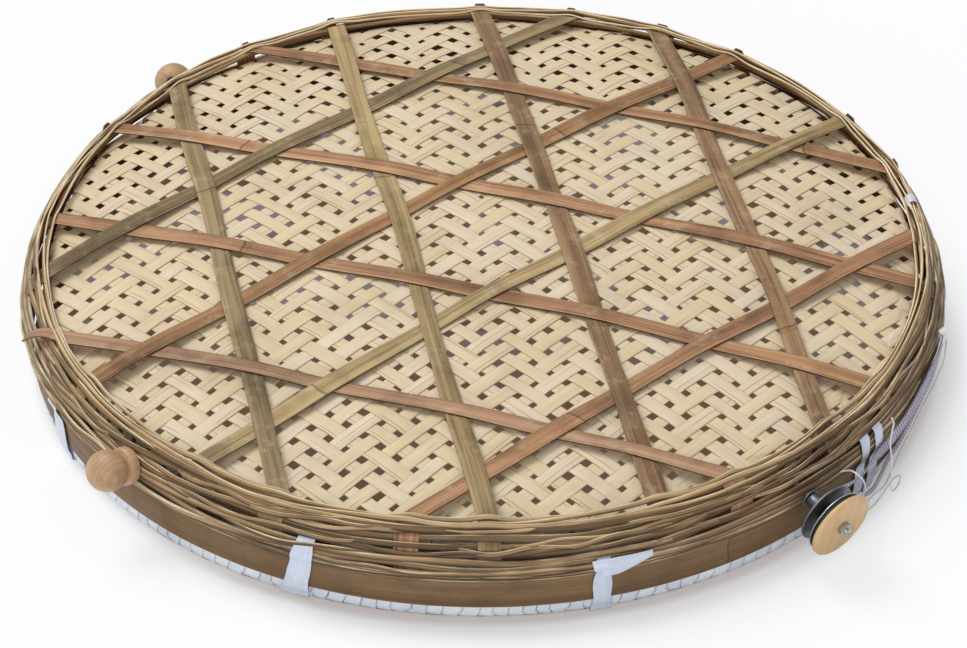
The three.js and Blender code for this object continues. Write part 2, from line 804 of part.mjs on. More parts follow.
// Thin strings: a tube along a smooth curve, and the least gap that it keeps to itself
function string(name, route, stepsEach) {
  const points = route.map(([out, arc, rise]) => beside(out, arc, rise));
  const curve = new THREE.CatmullRomCurve3(points, false, 'centripetal');
  const total = (points.length - 1) * stepsEach;
  const sides = 5;
  const centres = [];
  const sections = [];
  let side = new THREE.Vector3(0, 0, 1);
  for (let i = 0; i <= total; i += 1) {
    const at = curve.getPoint(i / total);
    const tangent = curve.getTangent(i / total);
    side.addScaledVector(tangent, -side.dot(tangent)).normalize();
    const other = tangent.clone().cross(side);
    centres.push(at);
    const ring = [];
    for (let s = 0; s < sides; s += 1) {
      const t = 2 * Math.PI * s / sides;
      ring.push(at.clone().addScaledVector(side, stringR * Math.cos(t))
        .addScaledVector(other, stringR * Math.sin(t)));
    }
    sections.push(ring);
    side = side.clone();
  }
  add(name, loft(sections, false), 'string');

  const fine = curve.getSpacedPoints(400);
  const length = curve.getLength();
  let least = Infinity;
  for (let i = 0; i < fine.length; i += 1) {
    for (let j = i + 1; j < fine.length; j += 1) {
      if ((j - i) * length / 400 < 8 * stringR) continue;
      least = Math.min(least, fine[i].distanceTo(fine[j]) - 2 * stringR);
    }
  }
  console.log(name, 'length', length.toFixed(1), 'least gap to itself', least.toFixed(2));
}

// From the knot down the outside to a bow on the lower strand, then up over the elastic
string('bow_string', [
  [knotOut + 3.1, knotArc - 1.6, knotRise - 3.2],
  [7, 162.6, 1.2],
  [5, 145.9, -7],
  [2.6, 128.2, -14.5],
  [2.4, 112.6, -20],
  [2.6, 96.9, -25],
  [4.5, 82.3, -29],
  [7.4, 69.8, -29.6],
  [9.2, 60.5, -27.4],
  [10, 51.1, -25.4],
  [10.8, 43.8, -27.4],
  [11, 43.3, -31.2],
  [10.8, 50.6, -33.2],
  [10.8, 59.4, -31],
  [11.6, 66.2, -26.4],
  [12, 73, -24.6],
  [12.8, 78.7, -27],
  [13.4, 75.6, -30.8],
  [14.2, 68.3, -30.6],
  [14.4, 64.6, -25.4],
  [11.8, 68.3, -17.8],
  [8.6, 73, -9.8],
  [5, 76.6, -2.8],
  [3.9, 80.3, 3.7],
  [3.6, 82.3, 8.4],
  [1, 83.9, 10.8],
], 2);

// A short tail that starts at the wall, passes over the elastic and hangs down beside the plate
string('curl_string', [
  [0.9, 28.4, 3],
  [3, 31.3, 3.2],
  [8, 31, 5.6],
  [13, 30.2, 5.9],
  [16, 31.5, 2.8],
  [17, 32.6, -2.8],
  [17, 32, -7.2],
  [17, 29.5, -9.4],
], 3);

export default part;
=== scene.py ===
# %% [markdown]
# A shallow bamboo sieve, turned upside down to cover food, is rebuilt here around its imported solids.
# The frame comes first: it gives every solid in its own place, and those places never change.
# Everything below is in millimetres, and one factor turns it into Blender's metres.

# %% Open the frame
import math

import bpy
import numpy as np
from mathutils import Matrix


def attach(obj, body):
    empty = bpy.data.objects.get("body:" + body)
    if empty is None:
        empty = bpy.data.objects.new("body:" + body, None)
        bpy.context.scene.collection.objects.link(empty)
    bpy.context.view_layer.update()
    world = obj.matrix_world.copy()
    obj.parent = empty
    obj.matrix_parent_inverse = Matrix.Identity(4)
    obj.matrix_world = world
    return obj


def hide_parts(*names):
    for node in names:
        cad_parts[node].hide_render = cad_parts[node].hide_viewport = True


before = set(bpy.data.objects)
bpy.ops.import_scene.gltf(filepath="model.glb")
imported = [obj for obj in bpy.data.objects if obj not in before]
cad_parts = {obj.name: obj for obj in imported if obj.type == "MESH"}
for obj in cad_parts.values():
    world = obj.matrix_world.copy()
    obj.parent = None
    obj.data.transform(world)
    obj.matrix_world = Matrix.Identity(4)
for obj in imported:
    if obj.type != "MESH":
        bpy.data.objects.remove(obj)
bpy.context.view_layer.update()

MM = 0.001
print("solids in the frame:", len(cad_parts))

# %% [markdown]
# The camera is part of the object's story too. It was found by fitting the round rim and the domed top
# to the photograph, so it is a long lens about 2.8 m away that looks down by 36.7 degrees.

# %% Camera


def placed(name, data):
    """A scene object that shows the given data."""
    thing = bpy.data.objects.new(name, data)
    bpy.context.scene.collection.objects.link(thing)
    return thing


CAMERA_PLACE = (0.0006, -2.2491, 1.6799)
LOOK_DOWN = math.radians(36.7044)
CAMERA_ROLL = math.radians(-0.1141)
SENSOR = 36.0
FOCAL_PIXELS = 4283.24
PICTURE_WIDTH = 967

camera_data = bpy.data.cameras.new("camera")
camera_data.sensor_fit = "HORIZONTAL"
camera_data.sensor_width = SENSOR
camera_data.lens = FOCAL_PIXELS / PICTURE_WIDTH * SENSOR
camera_data.clip_end = 50
camera = placed("camera", camera_data)
camera.matrix_world = (
    Matrix.Translation(CAMERA_PLACE)
    @ Matrix.Rotation(math.pi / 2 - LOOK_DOWN, 4, "X")
    @ Matrix.Rotation(CAMERA_ROLL, 4, "Z")
)
bpy.context.scene.camera = camera
bpy.context.scene.view_settings.view_transform = "Standard"
print("lens in mm:", round(camera_data.lens, 1))

# %% [markdown]
# The shapes share a few sizes with the solids: the wall is widest a little above its foot and draws in
# towards the rim, and the mat is a shallow dome whose edge falls faster than its middle.
# Small functions give those curves, so that every splint can be laid on them.

# %% Sizes and curves of the whole
WALL_R, RIM_R, FOOT_R = 298.6, 286.8, 294.5
FOOT_Z, BULGE_Z, RIM_Z = 30.6, 40.0, 67.4
WALL_THICK = 3.4
MAT_R = 281.1
CROWN_Z, BOW_RISE, EDGE_DROP = 76.2, 10.5, 6.2
STAKE_R = MAT_R + 0.3
BUTTON_ANGLE, BUTTON_Z, BUTTON_TILT = -48.6, 39.8, -12.0
UP = np.array([0.0, 0.0, 1.0])


def wall_radius(z):
    """Outer radius of the wall: the widest radius, less a parabola above and below the bulge."""
    above = (z - BULGE_Z) / (RIM_Z - BULGE_Z)
    below = (BULGE_Z - z) / (BULGE_Z - FOOT_Z)
    draw = np.where(z > BULGE_Z, (WALL_R - RIM_R) * above**2, (WALL_R - FOOT_R) * below**2)
    return WALL_R - draw


def mat_height(r):
    """Top of the mat: crown, less a square term for the bow and a fourth power for the falling edge."""
    t = r / MAT_R
    return CROWN_Z - BOW_RISE * t**2 - EDGE_DROP * t**4


def strip_height(r):
    """Underside of a strip that lies low: the same bow without the falling edge."""
    return CROWN_Z + 0.3 - BOW_RISE * (r / MAT_R) ** 2


def polar(r, angle, z):
    """Points at radius r, angle in degrees and height z, as rows of x, y, z."""
    a = np.radians(angle)
    return np.stack(np.broadcast_arrays(r * np.cos(a), r * np.sin(a), z), -1).astype(float)


def outward(angle):
    """Level unit vectors out from the middle, at angles in degrees."""
    return polar(1.0, angle, 0.0)


def unit(v):
    """Each vector divided by its own length."""
    return v / np.linalg.norm(v, axis=-1, keepdims=True)


def directions(path):
    """Unit vectors along a path of points."""
    return unit(np.gradient(path, axis=0))


def smooth_step(x):
    """0 below 0, 1 above 1, and the cubic 3x^2 - 2x^3 between."""
    x = np.clip(x, 0, 1)
    return x * x * (3 - 2 * x)


def wander(x, seed, length, size):
    """Slow drift of hand work: five sine waves with seeded lengths and starts, scaled to size."""
    rng = np.random.default_rng(seed)
    waves = rng.uniform(0.5, 1.7, 5) / length
    starts = rng.uniform(0, 2 * np.pi, 5)
    return size * 0.5 * np.sin(2 * np.pi * waves * x[..., None] + starts).sum(-1)


def ring_wander(angle, seed, low, high, size):
    """The same drift on a closed ring: whole waves from low to high per turn, with seeded starts."""
    rng = np.random.default_rng(seed)
    counts = rng.integers(low, high + 1, 6)
    starts = rng.uniform(0, 2 * np.pi, 6)
    return size * 0.45 * np.sin(np.radians(angle)[..., None] * counts + starts).sum(-1)


print("rim height over the mat's edge:", round(float(RIM_Z - mat_height(MAT_R)), 1), "mm")

# %% [markdown]
# Every splint, strip, band and tape is one flat section carried along a path.
# The section has eased corners, because split bamboo never has a sharp edge and a sharp edge catches
# no light. Whole arrays of points are handed to Blender at once, which keeps so many faces quick.

# %% Mesh helpers
BOX_SECTION = np.array([
    (-1, -0.45), (-0.9, -1), (0.9, -1), (1, -0.45), (1, 0.45), (0.9, 1), (-0.9, 1), (-1, 0.45),
])
CROWNED_SECTION = np.array([
    (-1, -0.6), (-0.94, -1), (0.94, -1), (1, -0.6), (1, 0.3), (0.95, 0.78), (0.6, 0.95),
    (0, 1.05), (-0.6, 0.95), (-0.95, 0.78), (-1, 0.3), (-1, 0),
])
SHARP_ANGLE = math.radians(50)
made = {}


def build(name, points, faces, corner_uv=None, values=None, smooth=True):
    """A mesh object from points (rows of x, y, z in mm) and arrays of faces with equal corner counts."""
    mesh = bpy.data.meshes.new(name)
    loops = np.concatenate([f.ravel() for f in faces])
    sizes = np.concatenate([np.full(len(f), f.shape[1]) for f in faces])
    mesh.vertices.add(len(points))
    mesh.vertices.foreach_set("co", (points * MM).astype(np.float32).ravel())
    mesh.loops.add(len(loops))
    mesh.loops.foreach_set("vertex_index", loops.astype(np.int32))
    mesh.polygons.add(len(sizes))
    mesh.polygons.foreach_set("loop_start", (np.cumsum(sizes) - sizes).astype(np.int32))
    mesh.update(calc_edges=True)
    if corner_uv is not None:
        layer = mesh.uv_layers.new(name="UVMap")
        layer.data.foreach_set("uv", np.concatenate(corner_uv).astype(np.float32).ravel())
    for key, value in (values or {}).items():
        mesh.attributes.new(key, "FLOAT", "POINT").data.foreach_set("value", value.astype(np.float32))
    mesh.polygons.foreach_set("use_smooth", np.full(len(sizes), smooth))
    if smooth:
        mesh.set_sharp_from_angle(angle=SHARP_ANGLE)
    mesh.update()
    made[name] = placed(name, mesh)
    return made[name]


def grid_faces(rows, columns, closed=False):
    """Faces between the rows of a grid whose columns run round, and the row and column of each."""
    i, j = np.meshgrid(np.arange(rows if closed else rows - 1), np.arange(columns), indexing="ij")
    i2, j2 = (i + 1) % rows, (j + 1) % columns
    faces = np.stack([i * columns + j, i * columns + j2, i2 * columns + j2, i2 * columns + j], -1)
    return faces.reshape(-1, 4), i, j


def skin(grid, section, closed):
    """Faces and corner UVs of one swept section. The grid holds stations by section points.
    U runs along the path in metres, V across it, and the two caps of an open path are quads."""
    n, k = grid.shape[:2]
    quads, i, j = grid_faces(n, k, closed)
    j2 = (j + 1) % k
    middle = grid.mean(1)
    steps = np.linalg.norm(np.roll(middle, -1, 0) - middle, axis=1)
    along = np.concatenate([[0], np.cumsum(steps)]) * MM
    wide = np.linalg.norm(grid[:, 0] - grid[:, k // 2 - 1], axis=1).mean() / 2 * MM
    across = section[:, 0] * wide + np.where(section[:, 1] < 0, 4 * wide, 0)
    uv = np.stack([along[np.stack([i, i, i + 1, i + 1], -1)], across[np.stack([j, j2, j2, j], -1)]], -1)
    faces, corners = [quads], [uv.reshape(-1, 2)]
    if not closed:
        half = k // 2
        caps = [[a, a + 1, k - 2 - a, k - 1 - a] for a in range(half - 1)]
        start = np.array(caps)[:, ::-1]
        end = np.array(caps) + (n - 1) * k
        faces.append(np.concatenate([start, end]))
        flat = np.stack([np.zeros(k), across], -1)
        corners.append(np.concatenate([flat[start.ravel()], flat[np.array(caps).ravel()]]))
    return faces, corners


def swept(name, grids, section=BOX_SECTION, closed=False, shades=None, seed=None):
    """One object from several swept grids. Each point keeps its grid's shade and its place across."""
    points, faces, corners, across, shade = [], [], [], [], []
    start = 0
    if shades is None:
        shades = np.random.default_rng(seed).uniform(0, 1, len(grids))
    for grid, tone in zip(grids, shades):
        own_faces, own_corners = skin(grid, section, closed)
        corners.append(np.concatenate(own_corners) + np.array([tone * 3.7, tone * 0.9]))
        faces.append(np.concatenate(own_faces) + start)
        points.append(grid.reshape(-1, 3))
        across.append(np.tile(section[:, 0], len(grid)))
        shade.append(np.full(grid.shape[0] * grid.shape[1], tone))
        start += grid.shape[0] * grid.shape[1]
    values = {"across": np.concatenate(across), "shade": np.concatenate(shade)}
    points, faces, corners = (np.concatenate(part) for part in (points, faces, corners))
    return build(name, points, [faces], [corners], values)


def ribbon(centre, wide, out, half_width, half_thick, section=BOX_SECTION):
    """Ribbon grid: centre + wide * half_width * a + out * half_thick * b at section point (a, b)."""
    half_width = np.broadcast_to(half_width, len(centre))[:, None, None]
    half_thick = np.broadcast_to(half_thick, len(centre))[:, None, None]
    a, b = section[:, 0][None, :, None], section[:, 1][None, :, None]
    return centre[:, None] + wide[:, None] * half_width * a + out[:, None] * half_thick * b


def lathe(profile, sides):
    """Points and faces of a turned shape from (radius, height) pairs. A pair on the axis makes a fan."""
    profile = np.array(profile, float)
    turn = 2 * np.pi * np.arange(sides) / sides
    ring = profile[profile[:, 0] > 0]
    heights = np.broadcast_to(ring[:, 1:], (len(ring), sides))
    points = np.stack([ring[:, :1] * np.cos(turn), ring[:, :1] * np.sin(turn), heights], -1)
    points = points.reshape(-1, 3)
    faces = [grid_faces(len(ring), sides)[0]]
    j, j2 = np.arange(sides), (np.arange(sides) + 1) % sides
    last = (len(ring) - 1) * sides
    if profile[0, 0] == 0:
        points = np.concatenate([points, [[0, 0, profile[0, 1]], [0, 0, profile[-1, 1]]]])
        pole = np.full(sides, len(points) - 2)
        faces.append(np.concatenate([
            np.stack([j2, j, pole], -1), np.stack([last + j, last + j2, pole + 1], -1),
        ]))
    else:
        faces.append(np.stack([last + j, last + j2, j2, j], -1))
    return points, faces


print("section points:", len(BOX_SECTION), "and", len(CROWNED_SECTION))

# %% [markdown]
# Colours are written as they are seen on a screen and turned into Blender's linear values.
# A few small helpers keep node trees short: one adds a node and links what it is given, and times,
# plus, ramp, blend and noise stand for the nodes used most. One more makes a material, and one makes
# a shader node group with named sockets.

# %% Material helpers


def seen(r, g, b):
    """A linear colour from the three screen values 0 to 255 (sRGB curve undone)."""
    c = np.array([r, g, b]) / 255
    linear = np.where(c <= 0.04045, c / 12.92, ((c + 0.055) / 1.055) ** 2.4)
    return (*linear.tolist(), 1.0)


def feed(socket, value):
    """An input linked to another socket or set to a value."""
    if isinstance(value, bpy.types.NodeSocket):
        socket.id_data.links.new(value, socket)
    else:
        socket.default_value = value


def node(tree, kind, inputs=None, **settings):
    """A node with its settings and its inputs."""
    made_node = tree.nodes.new("ShaderNode" + kind)
    for key, value in settings.items():
        setattr(made_node, key, value)
    for key, value in (inputs or {}).items():
        feed(made_node.inputs[key], value)
    return made_node


def tree_of(values):
    """The node tree of the first socket among the values."""
    return next(v.id_data for v in values if isinstance(v, bpy.types.NodeSocket))


def maths(operation, *values, clamp=False):
    """A Math node's result, made in the tree of its own inputs, as all the helpers below are."""
    inputs = dict(enumerate(values))
    return node(tree_of(values), "Math", inputs, operation=operation, use_clamp=clamp).outputs[0]


def times(a, b, clamp=False):
    """a * b."""
    return maths("MULTIPLY", a, b, clamp=clamp)


def plus(a, b, clamp=False):
    """a + b."""
    return maths("ADD", a, b, clamp=clamp)


def minus(a, b):
    """a - b."""
    return maths("SUBTRACT", a, b)


def distance(a, b):
    """Square root of a * a + b * b."""
    return maths("SQRT", plus(times(a, a), times(b, b)))


def ramp(value, low, high, to_low=0.0, to_high=1.0):
    """The value's place between low and high, eased and clamped, mapped to two results."""
    inputs = {0: value, 1: low, 2: high, 3: to_low, 4: to_high}
    return node(tree_of([value]), "MapRange", inputs, interpolation_type="SMOOTHSTEP").outputs[0]


def blend(factor, first, second, mode="MIX"):
    """Two colours mixed by a factor."""
    inputs = {0: factor, 6: first, 7: second}
    return node(tree_of([factor]), "Mix", inputs, data_type="RGBA", blend_type=mode).outputs[2]


def noise(vector, scale, detail=3.0, roughness=0.55):
    """A Noise texture's value."""
    inputs = {"Vector": vector, "Scale": scale, "Detail": detail, "Roughness": roughness}
    return node(tree_of([vector]), "TexNoise", inputs).outputs[0]


def split(vector):
    """The three parts of a vector."""
    return node(tree_of([vector]), "SeparateXYZ", {0: vector}).outputs


def join(*parts):
    """A vector from its parts."""
    return node(tree_of(parts), "CombineXYZ", dict(enumerate(parts))).outputs[0]


def surface_place(tree):
    """Place on the piece's own surface: U along it and V across it, in metres."""
    return node(tree, "UVMap", uv_map="UVMap").outputs[0]


def object_place(tree):
    """Place in the object's own coordinates."""
    return node(tree, "TexCoord").outputs["Object"]


def attribute(tree, name):
    """A value that the piece keeps for each of its points."""
    return node(tree, "Attribute", attribute_name=name).outputs["Fac"]


def group(name, inputs, outputs):
    """A node group with named sockets: an input is a number, a "colour" or a "vector". Returns its
    tree, its inputs and a way to set its outputs."""
    tree = bpy.data.node_groups.new(name, "ShaderNodeTree")
    kinds = {"float": "NodeSocketFloat", "colour": "NodeSocketColor", "vector": "NodeSocketVector"}
    for key, value in inputs.items():
        kind = value if isinstance(value, str) else "float"
        socket = tree.interface.new_socket(key, in_out="INPUT", socket_type=kinds[kind])
        if kind == "float":
            socket.default_value = value
    for key, kind in outputs.items():
        tree.interface.new_socket(key, in_out="OUTPUT", socket_type=kinds[kind])
    source = tree.nodes.new("NodeGroupInput")
    sink = tree.nodes.new("NodeGroupOutput")
    return tree, source.outputs, lambda key, socket: tree.links.new(socket, sink.inputs[key])


def use(which, inputs):
    """A node group placed beside what feeds it, with its inputs linked or set; returns its outputs."""
    return node(tree_of(inputs.values()), "Group", inputs, node_tree=which).outputs


def material(name):
    """An empty node material and its Principled shader."""
    made_material = bpy.data.materials.new(name)
    made_material.use_nodes = True
    tree = made_material.node_tree
    return made_material, tree, tree.nodes["Principled BSDF"]


def bump(shader, height, depth):
    """A height over the surface, with its depth in metres, fed to the shader's normal."""
    inputs = {"Height": height, "Distance": depth, "Strength": 1.0}
    feed(shader.inputs["Normal"], node(shader.id_data, "Bump", inputs).outputs[0])


def finish_piece(piece, slot_name, made_material, *nodes, body="cover"):
    """Material, body and replaced solids of one piece, in that order. slot_name is not used."""
    piece.data.materials.append(made_material)
    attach(piece, body)
    if nodes:
        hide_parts(*nodes)
    return piece


def laid(name, grids, slot_name, made_material, *nodes, **shape):
    """A swept and finished piece; shape holds what else swept takes."""
    return finish_piece(swept(name, grids, **shape), slot_name, made_material, *nodes)


# %% [markdown]
# Bamboo is bundles of straight fibre. Seen close, its colour runs in fine streaks along the splint,
# with slower bands where the culm weathered, so noise is stretched along U and squeezed across V.
# The group is built once and given other lengths, widths and colours in every bamboo material.

# %% Group: bamboo grain
GRAIN, source, give = group(
    "bamboo_grain",
    {"Along": "vector", "Shade": 0.5, "Light": "colour", "Dark": "colour", "Run": 30.0,
     "Fineness": 1500.0, "Contrast": 1.2},
    {"Colour": "colour", "Grain": "float"},
)
parts = split(source["Along"])
run = times(parts[0], source["Run"])
fine = times(parts[1], source["Fineness"])
own = times(source["Shade"], 41.0)
fibre = noise(join(run, fine, own), 1.0, 4.0, 0.6)
streak = noise(join(times(run, 0.3), times(fine, 0.2), own), 1.0, 2.0)
patch = noise(join(times(run, 0.5), times(fine, 0.03), own), 1.0, 2.0)
mixed = plus(plus(times(fibre, 0.45), times(streak, 0.35)), times(patch, 0.2))
spread = times(minus(mixed, 0.5), source["Contrast"])
spread = plus(times(spread, 2.2), 0.5, clamp=True)
give("Colour", blend(spread, source["Dark"], source["Light"]))
give("Grain", plus(times(fibre, 0.7), times(streak, 0.3)))
print("nodes in the grain:", len(GRAIN.nodes))

# %% [markdown]
# A bamboo culm has a joint every thirty to sixty centimetres. On a split strip it is left as a thin
# dark line with a slight swelling beside it. The group repeats that line along U at a given spacing.

# %% Group: culm joints
JOINTS, source, give = group(
    "culm_joints",
    {"Along": "vector", "Shade": 0.5, "Spacing": 0.29, "Line": 0.0009},
    {"Mask": "float", "Height": "float"},
)
parts = split(source["Along"])
shifted = plus(parts[0], times(source["Shade"], 0.23))
waved = plus(shifted, times(maths("SINE", times(parts[1], 400.0)), 0.0006))
place = maths("FRACT", maths("DIVIDE", waved, source["Spacing"]))
near = times(maths("ABSOLUTE", minus(place, 0.5)), source["Spacing"])
line_widths = maths("DIVIDE", near, source["Line"])
line = ramp(line_widths, 0.3, 1.2, 1.0, 0.0)
swell = ramp(line_widths, 1.0, 6.0, 1.0, 0.0)
give("Mask", line)
give("Height", minus(swell, line))
print("nodes in the joints:", len(JOINTS.nodes))

# %% [markdown]
# Two more effects are shared. The edges of a splint get another tone than their faces, read from the
# place across that every swept piece keeps: on the mat this is painted shade along the splints' edges,
# on the rows and rim splints a painted highlight on their top edges, and elsewhere a paler or darker
# edge.
# Dust and handling darken hollows and grip places in patches of a few centimetres, which noise on the
# object's own coordinates gives without following the weave.

# %% Groups: edge tone with painted light, and handling
EDGE_TONE_AND_PAINTED_LIGHT, source, give = group(
    "edge_tone_and_painted_light",
    {"Colour": "colour", "Across": 0.0, "Edge Colour": "colour", "Start": 0.8, "Amount": 1.0},
    {"Colour": "colour"},
)
edge_mask = node(EDGE_TONE_AND_PAINTED_LIGHT, "MapRange", {
    0: maths("ABSOLUTE", source["Across"]), 1: source["Start"], 2: 1.0,
}).outputs[0]
edge_mask = times(edge_mask, source["Amount"])
give("Colour", blend(edge_mask, source["Colour"], source["Edge Colour"]))

HANDLED, source, give = group(
    "handled",
    {"Colour": "colour", "Roughness": 0.6, "Patch": 22.0, "Amount": 0.25},
    {"Colour": "colour", "Roughness": "float"},
)
place = object_place(HANDLED)
cloud = ramp(noise(place, source["Patch"], 5.0, 0.6), 0.42, 0.72)
specks = ramp(noise(place, 900.0, 2.0), 0.66, 0.76)
soil = times(maths("MAXIMUM", cloud, specks), source["Amount"], clamp=True)
give("Colour", blend(soil, source["Colour"], seen(84, 62, 40), "MULTIPLY"))
give("Roughness", plus(source["Roughness"], times(cloud, 0.12), clamp=True))


def weathered(shader, colour, rough, soil, patch=22.0, **others):
    """Colour and roughness with handling over them, fed to the shader, and its other inputs by name."""
    worn = use(HANDLED, {"Colour": colour, "Roughness": rough, "Patch": patch, "Amount": soil})
    feed(shader.inputs["Base Color"], worn["Colour"])
    feed(shader.inputs["Roughness"], worn["Roughness"])
    for key, value in others.items():
        feed(shader.inputs[key.replace("_", " ")], value)


print("node groups:", [g.name for g in bpy.data.node_groups])

# %% [markdown]
# Two free ends of thin white string hang at the elastic: one runs down from its knot to a small bow, the
# other is a short tail beside the button. They come before everything else, because they are limp and
# their real length matters. Each is a round tube along the route that its solid has, with twisted yarn
# as its finish. Places beside the button are given as millimetres out, round the wall, and up.

# %% Free strings
KNOT_ARC, KNOT_RISE, KNOT_R = 180.3, 9.7, 4.2
KNOT_OUT = float(wall_radius(BUTTON_Z + KNOT_RISE)) + 0.3 + 0.8 * KNOT_R - WALL_R


def beside(out, arc, rise):
    """A place beside the button: millimetres out from the widest radius, round the wall, and up."""
    return polar(WALL_R + out, BUTTON_ANGLE + np.degrees(arc / WALL_R), BUTTON_Z + rise)


def curve_through(points, samples):
    """Points of a centripetal Catmull-Rom curve: each span blends two neighbours' parabolas, with the
    square root of the distances as its clock. Works on rows of any width."""
    p = np.array(points, float)
    p = np.concatenate([[2 * p[0] - p[1]], p, [2 * p[-1] - p[-2]]])
    steps = np.sqrt(np.linalg.norm(np.diff(p[:, :3], axis=0), axis=1))
    result = []
    f = np.linspace(0, 1, samples, endpoint=False)[:, None]
    for n in range(1, len(p) - 2):
        a, b, c = steps[n - 1], steps[n], steps[n + 1]
        m1 = (p[n] - p[n - 1]) / a - (p[n + 1] - p[n - 1]) / (a + b) + (p[n + 1] - p[n]) / b
        m2 = (p[n + 1] - p[n]) / b - (p[n + 2] - p[n]) / (b + c) + (p[n + 2] - p[n + 1]) / c
        m1, m2 = m1 * b, m2 * b
        result.append((2 * f**3 - 3 * f**2 + 1) * p[n] + (f**3 - 2 * f**2 + f) * m1
                      + (-2 * f**3 + 3 * f**2) * p[n + 1] + (f**3 - f**2) * m2)
    return np.concatenate(result + [p[-2:-1]])


STRING, tree, shader = material("white_string")
parts = split(surface_place(tree))
ply = maths("SINE", plus(times(parts[0], 5200.0), times(parts[1], 12.6)))
ply = ramp(ply, -1.0, 0.8)
lint = noise(object_place(tree), 2200.0)
string_colour = blend(ply, seen(232, 228, 232), seen(255, 254, 254))
string_colour = blend(times(lint, 0.25), string_colour, seen(214, 200, 210))
weathered(shader, string_colour, 0.85, 0.15, 110.0)
bump(shader, ply, 0.00015)


def tube(name, path, radius, sides=12):
    """A round tube along a path: a ring of points square to it, carried on with the least twist."""
    run = directions(path)
    side = np.zeros_like(path)
    side[0] = unit(np.cross(run[0], UP + 0.1 * run[0]))
    for n in range(1, len(path)):
        side[n] = side[n - 1] - run[n] * (side[n - 1] @ run[n])
        side[n] /= np.linalg.norm(side[n])
    other = np.cross(run, side)
    turn = 2 * np.pi * np.arange(sides) / sides
    ring = side[:, None] * np.cos(turn)[:, None] + other[:, None] * np.sin(turn)[:, None]
    radius = np.broadcast_to(radius, len(path))[:, None, None]
    grid = path[:, None] + ring * radius
    n, k = grid.shape[:2]
    quads, i, j = grid_faces(n, k)
    length = np.concatenate([[0], np.cumsum(np.linalg.norm(np.diff(path, axis=0), axis=1))]) * MM
    around = np.stack([j, j + 1, j + 1, j], -1) / k
    uv = np.stack([length[np.stack([i, i, i + 1, i + 1], -1)], around], -1)
    caps = np.stack([np.arange(k)[::-1], (n - 1) * k + np.arange(k)])
    cap_uv = np.zeros((2 * k, 2))
    return build(name, grid.reshape(-1, 3), [quads, caps], [uv.reshape(-1, 2), cap_uv])


BOW = [
    (KNOT_OUT + 3.1, KNOT_ARC - 1.6, KNOT_RISE - 3.2),
    (7, 162.6, 1.2), (5, 145.9, -7), (2.6, 128.2, -14.5),
    (2.4, 112.6, -20), (2.6, 96.9, -25), (4.5, 82.3, -29), (7.4, 69.8, -29.6), (9.2, 60.5, -27.4),
    (10, 51.1, -25.4), (10.8, 43.8, -27.4), (11, 43.3, -31.2), (10.8, 50.6, -33.2), (10.8, 59.4, -31),
    (11.6, 66.2, -26.4), (12, 73, -24.6), (12.8, 78.7, -27), (13.4, 75.6, -30.8), (14.2, 68.3, -30.6),
    (14.4, 64.6, -25.4), (11.8, 68.3, -17.8), (8.6, 73, -9.8), (5, 76.6, -2.8), (3.9, 80.3, 3.7),
    (3.6, 82.3, 8.4), (1, 83.9, 10.8),
]
CURL = [
    (0.9, 28.4, 3), (3, 31.3, 3.2), (8, 31, 5.6), (13, 30.2, 5.9), (16, 31.5, 2.8), (17, 32.6, -2.8),
    (17, 32, -7.2), (17, 29.5, -9.4),
]
STRING_R = 0.6
for name, route, far_end in (("bow_string", BOW, "object"), ("curl_string", CURL, "bare")):
    path = curve_through([tuple(beside(*p)) for p in route], 10)
    string = tube(f"{name}_yarn", path, STRING_R)
    finish_piece(string, "string", STRING, name)
